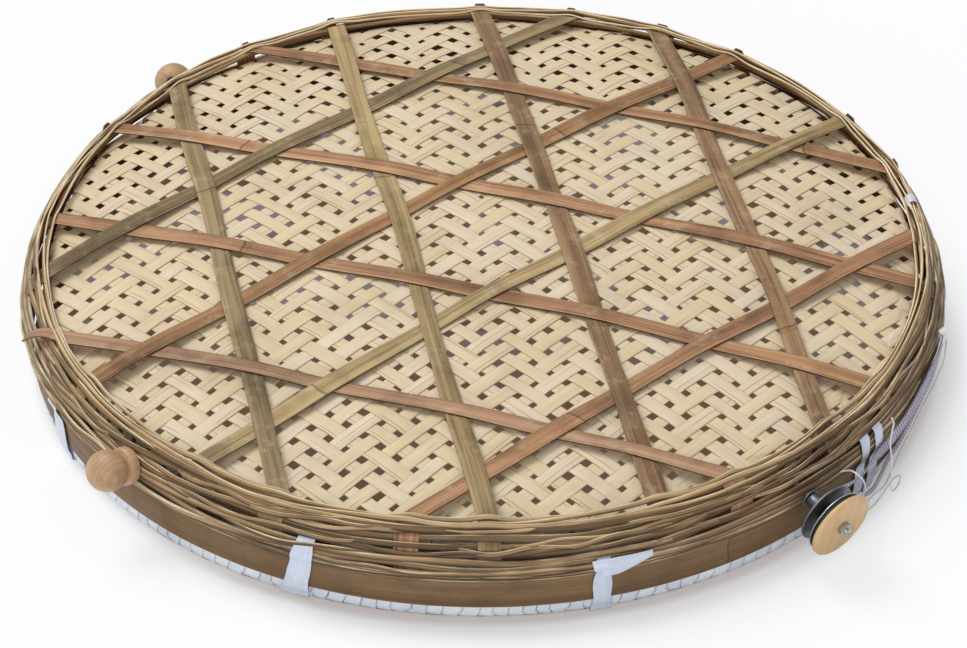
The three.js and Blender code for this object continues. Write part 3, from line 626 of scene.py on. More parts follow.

# %% [markdown]
# One recipe then makes all the bamboo finishes: grain in two tones, a shade of its own for each splint,
# pale or dark edges, which on the mat, rows and rim splints are painted light, painted shade on a lower
# side or on the side faces where asked, culm joints where the splint is wide enough to show them, and
# soil on top.

# %% Bamboo recipe


def bamboo(name, light, dark, edge, tint, run=30.0, fineness=1500.0, contrast=1.2, edge_start=0.8,
           edge_amount=0.8, joints=0.0, rough=0.55, soil=0.25, grain_depth=0.00012, shade_mix=0.5,
           lower=None, splits=0.0, painted_flank_shade=None, scuff=0.0):
    """A bamboo material. light and dark are the grain's tones, and tint is the other end of the
    splint-to-splint variation that the shade attribute picks from. The edge tone comes and goes along
    the splint; on the mat it is painted shade along the splints' edges, on rows and rim splints a
    painted highlight on their top edges, and on the other pieces simply a paler or darker edge. lower is
    painted shade on the lower side alone, splits draws hair-thin cracks here and there, the side-face
    tone is painted shade on the two side faces, and scuff is the share of pale rubbed patches."""
    made_material, tree, shader = material(name)
    along = surface_place(tree)
    shade = attribute(tree, "shade")
    across = attribute(tree, "across")
    varied = ramp(shade, 0.0, 1.0, 0.0, shade_mix)
    grain = use(GRAIN, {
        "Along": along, "Shade": shade, "Light": blend(varied, seen(*light), seen(*tint)),
        "Dark": seen(*dark), "Run": run, "Fineness": fineness, "Contrast": contrast,
    })
    stretch = join(times(split(along)[0], 28.0), times(shade, 97.0), maths("SIGN", across))
    coming = noise(stretch, 1.0, 2.0)
    edged = use(EDGE_TONE_AND_PAINTED_LIGHT, {
        "Colour": grain["Colour"], "Across": across, "Edge Colour": seen(*edge), "Start": edge_start,
        "Amount": ramp(coming, 0.38, 0.6, 0.25 * edge_amount, edge_amount),
    })
    colour, height = edged["Colour"], grain["Grain"]
    # Painted shade: the lower side of the splint is darkened, where shade falls between rows.
    if lower:
        under = ramp(across, -1.0, 0.02, 1.0, 0.0)
        colour = blend(times(under, 0.92), colour, seen(*lower), "MULTIPLY")
    if splits:
        at = times(minus(maths("FRACT", times(shade, 7.31)), 0.5), 1.3)
        line = ramp(maths("ABSOLUTE", minus(across, at)), 0.015, 0.06, 1.0, 0.0)
        here = ramp(noise(stretch, 0.5, 1.0), 0.52, 0.58)
        crack = times(times(line, here), splits)
        colour = blend(crack, colour, seen(*edge), "MULTIPLY")
    if scuff:
        rubbed = ramp(noise(object_place(tree), 75.0, 6.0, 0.7), 0.52, 0.7)
        colour = blend(times(rubbed, scuff), colour, seen(208, 190, 160))
    # Painted shade: the two side faces of a strip are darkened, where shade falls under its edges.
    if painted_flank_shade:
        colour = blend(ramp(maths("ABSOLUTE", across), 0.985, 0.999), colour, seen(*painted_flank_shade))
    if joints:
        joint = use(JOINTS, {"Along": along, "Shade": shade, "Spacing": joints})
        colour = blend(times(joint["Mask"], 0.4), colour, seen(84, 60, 42))
        height = plus(height, times(joint["Height"], 2.5))
    weathered(shader, colour, rough, soil, Specular_IOR_Level=0.35)
    bump(shader, height, grain_depth)
    return made_material


# On the mat the darker edge tone is painted shade along the splints' edges, where they dip under their
# neighbours; the cracks take the same colour.
MAT_BAMBOO = bamboo(
    "mat_bamboo", (235, 221, 198), (209, 188, 152), (172, 132, 84), (230, 211, 170),
    run=22, fineness=1100, contrast=1.0, edge_start=0.84, edge_amount=0.75, soil=0.14,
    shade_mix=0.9, splits=0.9,
)
STRIP_TONES = {
    "red_brown_strip": ((205, 157, 114), (126, 87, 57), (180, 133, 92)),
    "pink_tan_strip": ((204, 164, 130), (144, 106, 78), (184, 144, 108)),
    "olive_strip": ((170, 148, 106), (104, 86, 56), (148, 126, 84)),
    "orange_brown_strip": ((198, 152, 102), (126, 88, 54), (176, 132, 84)),
    "olive_yellow_strip": ((202, 176, 126), (128, 104, 66), (180, 154, 104)),
    "grey_brown_strip": ((174, 138, 100), (108, 80, 52), (148, 114, 80)),
}
# The strips' dark side-face tone is painted shade under their edges.
STRIP_BAMBOO = {
    slot: bamboo(slot, light, dark, (214, 182, 138), tint, run=9, fineness=700, contrast=2.2,
                 edge_start=0.88, edge_amount=0.7, joints=0.61, soil=0.45, grain_depth=0.0004,
                 splits=0.8, painted_flank_shade=(66, 40, 22), scuff=0.35)
    for slot, (light, dark, tint) in STRIP_TONES.items()
}
# The rows' pale edge tone is a painted highlight on each splint's top edge, and their lower side is
# painted shade.
WICKER = bamboo(
    "wicker_splint", (208, 171, 123), (92, 66, 40), (255, 240, 202), (142, 109, 71),
    run=12, fineness=1100, contrast=2.0, edge_start=0.7, edge_amount=0.95, soil=0.4,
    grain_depth=0.0004, shade_mix=1.0, lower=(38, 26, 17),
)
# The rim splints carry the same painted highlight on their edges and painted shade on their lower side.
RIM_SPLINT = bamboo(
    "rim_splint", (246, 220, 176), (172, 138, 94), (255, 240, 206), (204, 168, 120),
    run=14, fineness=1300, contrast=1.4, edge_start=0.5, edge_amount=0.7, soil=0.25, grain_depth=0.0002,
    shade_mix=0.9, lower=(84, 58, 38),
)
BAND_BAMBOO = bamboo(
    "band_bamboo", (148, 117, 81), (102, 77, 49), (236, 212, 168), (130, 105, 70),
    run=7, fineness=700, contrast=1.4, edge_start=0.93, edge_amount=1.0, joints=0.53, rough=0.5,
    soil=0.35, grain_depth=0.0002,
)
OLD_TIP = bamboo(
    "weathered_tip", (128, 98, 70), (58, 42, 30), (150, 118, 84), (90, 68, 48),
    run=30, fineness=900, contrast=1.8, edge_start=0.8, edge_amount=0.6, soil=0.5,
)
INNER_BAMBOO = bamboo(
    "inner_bamboo", (176, 130, 98), (118, 80, 54), (196, 156, 118), (150, 108, 78),
    run=9, fineness=800, contrast=1.3, edge_start=0.86, edge_amount=0.7, joints=0.33, soil=0.35,
)
print("bamboo finishes:", len(STRIP_BAMBOO) + 6)

# %% [markdown]
# The mat is a twill: every splint of split bamboo passes over two neighbours and under two, and each
# next splint starts one place further on. Where four edges meet, a small square hole stays open.
# Each splint is really laid: its height swings by its own thickness from crossing to crossing, and its
# ends fold down inside the wall. A texture would lose the holes and the light that falls through them.

# %% Mat splints
RISING = {"angle": 46.2, "pitch": 14.35, "count": 38, "half": 4.75}
FALLING = {"angle": -43.4, "pitch": 15.05, "count": 36, "half": 5.0}
MAT_HALF_THICK = 0.28
MAT_SWING = 0.31
MAT_DROP = 13.0
MAT_BELOW = 0.65
MAT_FOLD_R = MAT_R - 0.8
MAT_FOLD = 3.4


def family_offsets(family, seed):
    """Signed distances of the splints from the centre: even steps, each moved a little by hand."""
    rng = np.random.default_rng(seed)
    places = (np.arange(family["count"]) - (family["count"] - 1) / 2) * family["pitch"]
    return places + rng.uniform(-0.7, 0.7, family["count"])


def over_dome(angle, offset, path, rise, half_width, drift, layer, shift=0.0):
    """Grid of a strip laid over the dome and folded down at its edge.
    Point (t, b): along * t * sqrt((fold_r - fold)^2 - offset(b)^2) + across * offset(b), at the dome's
    height plus the rise; past the edge it turns about the fold and runs down the wall by the drop.
    layer holds half the thickness, the section, the fold's place and radius, and the dome's height."""
    share, turn, drop = path
    half_thick, section, fold_r, fold, height = layer
    a = math.radians(angle)
    along = np.array([math.cos(a), math.sin(a), 0])
    across = np.array([-math.sin(a), math.cos(a), 0])
    own = offset + drift[:, None] + half_width[:, None] * section[:, 0]
    limit = fold_r - fold - 0.5
    own = np.clip(own, -limit, limit)
    flat = np.sqrt((fold_r - fold) ** 2 - own**2)
    edge = np.sqrt(fold_r**2 - own**2)
    bend = np.sin(turn)[:, None]
    folded = np.sign(share)[:, None] * (flat + bend * (edge - flat))
    reach = np.where(bend > 0, folded, share[:, None] * flat)
    foot = along * reach[..., None] + across * own[..., None]
    r = np.hypot(foot[..., 0], foot[..., 1])
    away = foot / r[..., None]
    low = height(fold_r - fold) - fold * (1 - np.cos(turn))[:, None] - drop[:, None]
    foot[..., 2] = np.where(bend > 0, low, height(r))
    normal = UP * np.cos(turn)[:, None, None] + away * bend[..., None]
    lifted = rise[:, None] + half_thick * section[:, 1]
    return foot + normal * lifted[..., None] + away * np.broadcast_to(shift, len(share))[:, None, None]


def path_over(flat_steps, fold_steps, drop_steps, drop):
    """Stations of such a strip: down one side, over the fold, across the dome, and down the other."""
    ends = np.ones(drop_steps + fold_steps)
    share = np.concatenate([-ends, np.linspace(-1, 1, flat_steps), ends])
    falls = np.linspace(drop, 0, drop_steps, endpoint=False)
    folds = np.linspace(np.pi / 2, 0, fold_steps, endpoint=False)
    upright = np.full(drop_steps, np.pi / 2)
    turn = np.concatenate([upright, folds, np.zeros(flat_steps), folds[::-1], upright])
    fall = np.concatenate([falls, np.zeros(2 * fold_steps + flat_steps), falls[::-1]])
    return share, turn, fall


def twill_side(i, j, seed=5):
    """1 where rising splint i lies over falling splint j, else -1: two over and two under, one step on
    for each next splint, with a slip of the hand at a few crossings."""
    plain = np.where((i - j) % 4 < 2, 1, -1)
    slips = np.random.default_rng(seed).uniform(0, 1, (64, 64)) < 0.025
    return np.where(slips[i, j], -plain, plain)


MAT_LAYER = (MAT_HALF_THICK, BOX_SECTION, MAT_FOLD_R, MAT_FOLD, lambda r: mat_height(r) - MAT_BELOW)


def mat_family(own, other, own_offsets, other_offsets, rising):
    """Grids of one family's splints. Height is the swing, taken from side to side between crossings."""
    path = path_over(156, 3, 3, MAT_DROP)
    share, turn, _ = path
    cross = math.radians(other["angle"] - own["angle"])
    grids = []
    for index, offset in enumerate(own_offsets):
        end = math.sqrt((MAT_FOLD_R - MAT_FOLD) ** 2 - offset**2)
        s = share * end
        meets = (offset * math.cos(cross) - other_offsets) / math.sin(cross)
        order = np.argsort(meets)
        places = np.interp(s, meets[order], np.arange(len(order)))
        low = np.clip(np.floor(places).astype(int), 0, len(order) - 2)
        numbers = order[low], order[low + 1]
        sides = [twill_side(index, n) if rising else -twill_side(n, index) for n in numbers]
        swing = sides[0] + (sides[1] - sides[0]) * smooth_step((places - low - 0.5) / 0.44 + 0.5)
        keep = np.cos(turn) ** 2
        rise = MAT_SWING * (swing * keep + (1 - keep) * (1 if rising else -1))
        seed = 100 * (1 + rising) + index
        width = own["half"] + wander(s, seed, 160, 0.25) + np.random.default_rng(seed).uniform(-0.5, 0.5)
        drift = wander(s, seed + 50, 140, 0.4)
        grids.append(over_dome(own["angle"], offset, path, rise, width, drift, MAT_LAYER))
    return grids


rising_offsets, falling_offsets = family_offsets(RISING, 21), family_offsets(FALLING, 22)
rising = mat_family(RISING, FALLING, rising_offsets, falling_offsets, True)
falling = mat_family(FALLING, RISING, falling_offsets, rising_offsets, False)
laid("mat_rising", rising, "mat", MAT_BAMBOO, "woven_mat", seed=31)
laid("mat_falling", falling, "mat", MAT_BAMBOO, "mat_skirt", seed=32)
print("mat splints:", len(rising) + len(falling))

# %% [markdown]
# Twelve wide strips of dark bamboo skin stiffen the mat. They run in three directions, four to each,
# and every family passes over one of the others and under the third, which locks them without a knot.
# At one crossing, of a1 and c2, the photograph shows them the other way about.
# They follow the same dome function as the mat, lifted where they cross over another strip, and their
# ends go down as the stakes that the wall is woven on.

# %% Order of the strips
FAMILIES = {
    "a": (-18.8, "c", (0.6026, 0.1754, -0.2191, -0.6304)),
    "b": (41.56, "a", (0.5859, 0.1853, -0.191, -0.6364)),
    "c": (101.0, "b", (0.5984, 0.1811, -0.1861, -0.6009)),
}
STRIPS = {
    "a1": ("red_brown_strip", 5.9), "a2": ("red_brown_strip", 6.5), "a3": ("red_brown_strip", 6.3),
    "a4": ("pink_tan_strip", 5.6), "b1": ("olive_strip", 6.4), "b2": ("orange_brown_strip", 6.3),
    "b3": ("olive_yellow_strip", 6.5), "b4": ("red_brown_strip", 6.1), "c1": ("olive_strip", 6.4),
    "c2": ("olive_yellow_strip", 6.3), "c3": ("grey_brown_strip", 6.6), "c4": ("grey_brown_strip", 6.3),
}
SWAPPED = ("a1", "c2")
STRIP_THICK, STRIP_FOLD, STRIP_DROP, HOLD = 1.4, 2.5, 27.0, 11.5
LIFT = STRIP_THICK + 0.3


def strip_crossings(key, index):
    """Where a strip meets the other two families, as (distance along, True if it passes over)."""
    angle, over, shares = FAMILIES[key]
    found = []
    for other, (other_angle, _, other_shares) in FAMILIES.items():
        if other == key:
            continue
        cross = math.radians(other_angle - angle)
        for n, share in enumerate(other_shares):
            s = MAT_R * (shares[index] * math.cos(cross) - share) / math.sin(cross)
            pair = tuple(sorted((f"{key}{index + 1}", f"{other}{n + 1}")))
            if math.hypot(s, MAT_R * shares[index]) < STAKE_R - HOLD:
                found.append((s, (over == other) != (pair == SWAPPED)))
    return sorted(found)


print("crossings on each strip:", [len(strip_crossings(key, n)) for key in FAMILIES for n in range(4)])

# %% [markdown]
# The wall is a real weave on those stakes. At each stake a row of splints passes outside and the next
# row inside, and the stake bends the other way. So the stakes' angles are found first, sorted round the
# rim, and the rows and the stakes ask the same function for their sides.

# %% Stakes round the wall
ROWS, SOLID_ROWS = 8, 6
ROW_Z = 35.0 + 4.1 * np.arange(ROWS)
ROW_SWING, TIGHT_SWING, STAKE_SWING = 0.95, 0.35, 0.8
ROW_OUT, STAKE_BEHIND = 0.5, 1.9
OPEN_FROM, OPEN_OVER = 48.0, 5.0


def open_weave(z):
    """0 low on the wall, where tight rows hide the stakes, and 1 near the rim, where both show."""
    return smooth_step((z - OPEN_FROM) / OPEN_OVER)


def stake_angle(key, index, side):
    """Angle at which an end of a strip meets the wall: the family's angle plus asin(offset / radius)."""
    angle, _, shares = FAMILIES[key]
    tilt = math.degrees(math.asin(MAT_R * shares[index] / STAKE_R))
    return (angle + tilt if side > 0 else angle + 180 - tilt) % 360


stakes = sorted((stake_angle(key, n, side), key, n, side)
                for key in FAMILIES for n in range(4) for side in (-1, 1))
stake_angles = np.array([s[0] for s in stakes])
stake_number = {s[1:]: n for n, s in enumerate(stakes)}


def row_side(row, stake):
    """1 where a row passes outside a stake, -1 where it passes inside: neighbours take turns."""
    return 1 - 2 * ((row + stake) % 2)


print("stakes:", len(stakes))

# %% [markdown]
# With the sides known, each strip is laid from end to end: up the wall as a stake, over its fold, across
# the dome, lifted where it crosses over another, and down again. Near the rim a stake bends round each
# row. Low on the wall it runs straight behind the tight rows.

# %% Wide strips
STRIP_LAYER = (
    STRIP_THICK / 2, CROWNED_SECTION, STAKE_R, STRIP_FOLD, lambda r: strip_height(r) + STRIP_THICK / 2,
)


def strip_grid(key, index):
    """The strip's grid: laid over the dome, then down each side as a stake woven through the rows."""
    angle, _, shares = FAMILIES[key]
    centre = MAT_R * shares[index]
    name = f"{key}{index + 1}"
    path = path_over(190, 4, 26, STRIP_DROP)
    share, turn, fall = path
    end = math.sqrt((STAKE_R - STRIP_FOLD) ** 2 - centre**2)
    s = share * end
    stations, rises = [-end], [0.0]
    for at, over in strip_crossings(key, index):
        stations += [max(at - HOLD, stations[-1] + 0.1), min(at + HOLD, end)]
        rises += [LIFT * over] * 2
    rise = np.interp(s, stations + [end + 1], rises + [0.0])
    rise = np.convolve(np.pad(rise, 4, "edge"), np.full(9, 1 / 9), "valid")
    rise *= np.cos(turn) ** 2
    seed = 300 + 10 * index + ord(key)
    z = strip_height(STAKE_R - STRIP_FOLD) - STRIP_FOLD - fall
    bends = []
    for side in (-1, 1):
        number = stake_number[(key, index, side)]
        sides = [-row_side(row, number) for row in range(ROWS)]
        heights = np.concatenate([ROW_Z, [RIM_Z + 1]])
        bends.append(np.interp(z, heights, sides + [0]))
    shown = open_weave(z)
    weave = np.where(share < 0, bends[0], bends[1]) * STAKE_SWING * shown - STAKE_BEHIND * (1 - shown)
    settle = smooth_step((RIM_Z - 1.5 - z) / 6.0)
    target = wall_radius(z) - WALL_THICK / 2 + weave - (STAKE_R + STRIP_THICK / 2)
    shift = np.where(turn > 1.5, settle * target, 0.0)
    width = STRIPS[name][1] + wander(s, seed, 220, 0.45)
    return over_dome(angle, centre, path, rise, width, wander(s, seed + 1, 300, 0.9), STRIP_LAYER, shift)


for key in FAMILIES:
    for index in range(4):
        name = f"{key}{index + 1}"
        tone = ((ord(key) * 7 + index * 3) % 10) / 10
        slot = STRIPS[name][0]
        laid(f"wide_strip_{name}", [strip_grid(key, index)], slot, STRIP_BAMBOO[slot], f"strip_{name}",
             section=CROWNED_SECTION, shades=[tone])
print("wide strips:", sum(n.startswith("wide_strip") for n in made))

# %% [markdown]
# The rows are coarse splints, three to five millimetres wide, wound round the stakes. A splint reaches
# a little more than a quarter of the way round, so each row is four of them, tapered with a knife and
# tucked under the next. They swing in and out from stake to stake and drift up and down, so that rows
# lean over each other and leave the long dark slits of hand work between them. Six rows take the place
# of the six solid rings, and two more fill the wall up to the rim.

# %% Wall rows
places_round = np.concatenate([[stake_angles[-1] - 360], stake_angles, [stake_angles[0] + 360]])
numbers_round = np.concatenate([[len(stakes) - 1], np.arange(len(stakes)), [0]])


def wall_frame(angle, z):
    """Unit vectors up the wall's face and out of it, from the slope of the wall's radius."""
    slope = wall_radius(z + 0.5) - wall_radius(z - 0.5)
    radial = outward(angle)
    up_face = unit(radial * slope[:, None] + UP)
    out = unit(radial - UP * slope[:, None])
    return up_face, out


def tapered(angle, z, r, half, half_thick, turn_seed, tuck=1.9):
    """A ribbon on the wall whose ends narrow to a point and sink between the rows, and which leans a
    little about its own length."""
    t = np.linspace(0, 1, len(angle))
    reach = (angle[-1] - angle[0]) / 7
    near_end = np.minimum(t, 1 - t) * reach
    up_face, out = wall_frame(angle, z)
    lean = np.radians(ring_wander(angle, turn_seed, 6, 20, 8.0))[:, None]
    wide, face = up_face * np.cos(lean) + out * np.sin(lean), out * np.cos(lean) - up_face * np.sin(lean)
    sunk = r - tuck * (1 - smooth_step(near_end))
    taper = 0.3 + 0.7 * np.sqrt(smooth_step(near_end * 1.4))
    return ribbon(polar(sunk, angle, z), wide, face, half * taper, half_thick)


def row_splint(row, start, span, half, seed):
    """One splint of a row: radius = wall's middle + side * swing, eased between neighbouring stakes, and
    height = the row's own + two drifts, one shared by the row and one of the splint's own."""
    angle = start + np.arange(0, span, 0.75)
    at = angle % 360
    sides = np.array([row_side(row, n) for n in numbers_round], float)
    low = np.clip(np.searchsorted(places_round, at, "right") - 1, 0, len(places_round) - 2)
    part = (at - places_round[low]) / (places_round[low + 1] - places_round[low])
    side = sides[low] + (sides[low + 1] - sides[low]) * smooth_step(part)
    z = ROW_Z[row] + ring_wander(at, 900 + row, 4, 13, 0.8) + wander(angle, seed, 30, 0.95) + 0.35 * side
    z = np.clip(z, FOOT_Z + 3.4, RIM_Z - 3.0)
    shown = open_weave(ROW_Z[row])
    swing = TIGHT_SWING + (ROW_SWING - TIGHT_SWING) * shown
    r = wall_radius(z) - WALL_THICK / 2 + ROW_OUT * (1 - shown) + swing * side
    r = r + wander(angle, seed + 1, 26, 0.2)
    return tapered(angle, z, r, half + wander(angle, seed + 2, 30, 0.3), 0.9, seed + 3)


for row in range(ROWS):
    rng = np.random.default_rng(400 + row)
    starts = (np.arange(4) * 90 + rng.uniform(-16, 16, 4) + 37 * row) % 360
    starts.sort()
    spans = np.roll(starts, -1) - starts + np.array([0, 0, 0, 360]) + rng.uniform(7, 15, 4)
    splints = [row_splint(row, a, b, rng.uniform(1.45, 2.3), 420 + 40 * row + 7 * n)
               for n, (a, b) in enumerate(zip(starts, spans))]
    solids = [f"weaver_{row + 1}"] if row < SOLID_ROWS else []
    laid(f"wall_row_{row + 1}", splints, "splint", WICKER, *solids, seed=460 + row)
print("wall rows:", ROWS)

# %% [markdown]
# Spare ends and doubled splints lie over the rows here and there, thinner than the rows and tapered too.
# They are what makes the front look tangled, so sixteen of them are laid all round at seeded places,
# one across the left front, and eleven more along the front, high on the wall.

# %% Loose splints on the wall


def loose_splint(start, length, z_from, z_to, half, lift, seed):
    """A splint on the wall's face whose height runs from one value to the other along a slow curve."""
    angle = start + np.arange(0, length, 0.5)
    z = z_from + (z_to - z_from) * smooth_step((angle - start) / length) + wander(angle, seed, 14, 0.7)
    z = np.clip(z, FOOT_Z + 2.0, RIM_Z - 1.5)
    r = wall_radius(z) + lift + wander(angle, seed + 1, 10, 0.25)
    return tapered(angle, z, r, half, 0.6, seed + 2, 3.2)


def scattered(rng, count, first, step, astray, heights, climb, limits, lengths, halves, lifts, seed):
    """Loose splints at even steps from a first angle, each astray by up to so many degrees. Their
    heights, climbs, lengths, half widths and lifts are drawn between limits."""
    splints = []
    for n in range(count):
        start = first + step * n + rng.uniform(-astray, astray)
        z_from = rng.uniform(*heights)
        z_to = np.clip(z_from + rng.uniform(-climb, climb), *limits)
        draws = rng.uniform(*lengths), z_from, z_to, rng.uniform(*halves), rng.uniform(*lifts)
        splints.append(loose_splint(start, *draws, seed + 3 * n))
    return splints


rng = np.random.default_rng(517)
loose = scattered(rng, 16, -30, 22.5, 7, (36, 63), 9, (35, 64), (22, 54), (1.3, 2.1), (-0.1, 0.5), 520)
loose.append(loose_splint(236, 22, 47.0, 48.6, 1.2, 1.5, 610))
loose += scattered(rng, 11, 196, 12, 5, (51, 62), 7, (49, 63.5), (20, 40), (1.0, 1.6), (-0.5, 0.2), 630)
laid("loose_splints", loose, "splint", WICKER, seed=33)
print("loose splints:", len(loose))

# %% [markdown]
# Along the top edge run thin pale splints that bind the rim. They pass over the strips' folds, wander
# in and out, and cross one another. A plain reddish hoop stands inside them and shows at the back
# between the mat's edge and the rim. The strips' trimmed tips stand up just outside.

# %% Rim splints, rim hoop and trimmed tips


def rim_ring(radius, z, half, lean, bump_size, seed, size_r=0.9, size_z=0.7):
    """A closed thin splint at the rim. Its radius and height drift, its width leans inward by the lean,
    and it rises over each strip by bump_size * exp(-(angle from the stake / 2)^2)."""
    angle = np.arange(0, 360, 0.6)
    apart = (angle[:, None] - stake_angles[None] + 180) % 360 - 180
    over = bump_size * np.exp(-(apart / 2.0) ** 2).sum(1)
    r = radius + ring_wander(angle, seed, 5, 17, size_r)
    height = z + ring_wander(angle, seed + 1, 4, 15, size_z) + over
    tilt = np.radians(lean + ring_wander(angle, seed + 2, 4, 12, 12.0))[:, None]
    radial = outward(angle)
    wide = UP * np.cos(tilt) - radial * np.sin(tilt)
    face = radial * np.cos(tilt) + UP * np.sin(tilt)
    half = half + ring_wander(angle, seed + 3, 3, 9, 0.2)
    return ribbon(polar(r, angle, height), wide, face, half, 0.45)


rim_rings = [
    rim_ring(280.4, 66.0, 1.3, 35, 2.6, 601), rim_ring(282.2, 62.7, 1.2, 5, 0.3, 611, 0.5, 1.1),
    rim_ring(283.1, 66.7, 1.5, 20, 1.6, 621, 1.5), rim_ring(286.0, 66.2, 1.6, 15, 1.0, 631, 1.3),
    rim_ring(287.5, 64.0, 1.4, 5, 0.6, 641, 0.7),
]
laid("rim_splints", rim_rings, "splint", RIM_SPLINT, closed=True, shades=[0.1, 0.9, 0.35, 0.6, 0.8])

angle = np.arange(0, 360, 1.0)
radial = outward(angle)
centre = polar(283.2, angle, 60.9 + ring_wander(angle, 640, 3, 9, 0.6))
hoop = ribbon(centre, np.broadcast_to(UP, radial.shape), radial, 1.6, 0.5)
laid("rim_inner_hoop", [hoop], "band", INNER_BAMBOO, closed=True, shades=[0.4])


def stake_tip(number):
    """A trimmed tip: a short ribbon that stands at the stake's angle just outside the rim splints."""
    at, key, index, _ = stakes[number]
    rng = np.random.default_rng(700 + number)
    z = np.linspace(60.0, 68.6 + rng.uniform(-0.9, 0.7), 5)
    radial = outward(np.full(5, at))
    side = np.cross(UP, radial)
    r = 287.9 + rng.uniform(-0.3, 0.3) + 0.05 * (z - 60)
    slant = (z - 60)[:, None] * rng.uniform(-0.25, 0.25) * side
    half = STRIPS[f"{key}{index + 1}"][1] * rng.uniform(0.6, 0.95) * np.array([1, 1, 1, 0.9, 0.6])
    return ribbon(polar(r, np.full(5, at), z) + slant, side, radial, half, 0.55)


def bent_tip(key, index):
    """A longer tip that was bent out over the rim: it goes on along its strip's own line, at the angle
    family + 180 - asin(offset / radius), from the rim out and down past the rows."""
    angle, _, shares = FAMILIES[key]
    line = curve_through([(283.5, 66.6), (289.5, 67.2), (296.5, 64.4), (302.0, 59.4)], 6)
    at = angle + 180 - np.degrees(np.arcsin(MAT_R * shares[index] / line[:, 0]))
    centre = polar(line[:, 0], at, line[:, 1])
    run = directions(centre)
    side = unit(np.cross(UP, run))
    return ribbon(centre, side, np.cross(run, side), np.linspace(5.2, 4.4, len(line)), 0.55)


tips = [stake_tip(n) for n, stake in enumerate(stakes) if 15 < stake[0] < 190]
laid("bent_tip", [bent_tip("a", 3)], "pink_tan_strip", STRIP_BAMBOO["pink_tan_strip"], shades=[0.5])
laid("stake_tips", tips, "grey_brown_strip", OLD_TIP, seed=34)
print("trimmed tips:", len(tips))

# %% [markdown]
# A smooth bamboo band a little over twenty millimetres high closes the wall's foot and laps over the
# hoop below it. It flares a little upward, and its end laps over its start at the back. The matching
# band inside presses the mat's edge outward.

# %% Wide band and inner band
OUTER_BAND = (293.8, 295.0, 10.2, 32.0)
INNER_BAND = (279.1, 279.1, 10.2, 52.4)
LAP_FROM, LAP_TO, LAP_RISE_DEGREES = 64, 108, 3


def band_grid(angle, band, half_thick, seed, shift=0.0):
    """A band from its foot and top radius and its foot and top height; its middle line is their mean,
    and it drifts a little."""
    foot_r, top_r, foot_z, top_z = band
    radial = outward(angle)
    wide = unit(radial * (top_r - foot_r) + UP * (top_z - foot_z))
    out = unit(radial * (top_z - foot_z) - UP * (top_r - foot_r))
    r = (foot_r + top_r) / 2 - half_thick + ring_wander(angle, seed, 2, 6, 0.12) + shift
    z = (foot_z + top_z) / 2 + ring_wander(angle, seed + 1, 2, 5, 0.12)
    half = math.hypot(top_z - foot_z, top_r - foot_r) / 2 - 0.15
    return ribbon(polar(r, angle, z), wide, out, half, half_thick)


angle = np.arange(0, 360, 0.75)
outer = band_grid(angle, OUTER_BAND, 0.75, 651)
laid("wide_band", [outer], "band", BAND_BAMBOO, "outer_band", closed=True, shades=[0.35])
lap = np.linspace(LAP_FROM, LAP_TO, 60)
lap_lift = 1.3 * np.clip((lap - LAP_FROM) / LAP_RISE_DEGREES, 0, 1) - 0.6
over = band_grid(lap, OUTER_BAND, 0.5, 651, lap_lift)
laid("wide_band_lap", [over], "band", BAND_BAMBOO, shades=[0.7])
inner = band_grid(angle, INNER_BAND, 1.0, 671)
laid("inner_band_skin", [inner], "band", INNER_BAMBOO, "inner_band", closed=True, shades=[0.55])
print("band height:", round(OUTER_BAND[3] - OUTER_BAND[2], 1), "mm")

# %% [markdown]
# Thin white plastic tape is wound round the bottom hoop, each turn lapping the last. One long helix is
# made as a single closed surface: the position round the hoop depends on the turn count plus the place
# round the section, so the grid lines follow the seams, and each turn steps up before the next begins.

# %% Tape winding
TURNS = 183
TAPE_STEPS = np.array([0.0, 0.05, 0.35, 0.7, 0.955])
TAPE_RISE = 0.5


def tape_section(count):
    """Closed outline of the wound hoop, (radius, height), counterclockwise. It is a superellipse whose
    corners are tight above, under the band, and eased below, where the tape bridges them."""
    low_r, high_r, low_z, high_z = 277.2, 292.0, 0.25, 10.2
    t = np.arange(count) / count * 2 * np.pi
    wide, tall = (high_r - low_r) / 2, (high_z - low_z) / 2
    power = np.where(np.sin(t) < 0, 0.6, 0.2)
    x = np.sign(np.cos(t)) * np.abs(np.cos(t)) ** power * wide
    y = np.sign(np.sin(t)) * np.abs(np.sin(t)) ** power * tall
    return np.stack([x + (low_r + high_r) / 2, y + (low_z + high_z) / 2], -1)


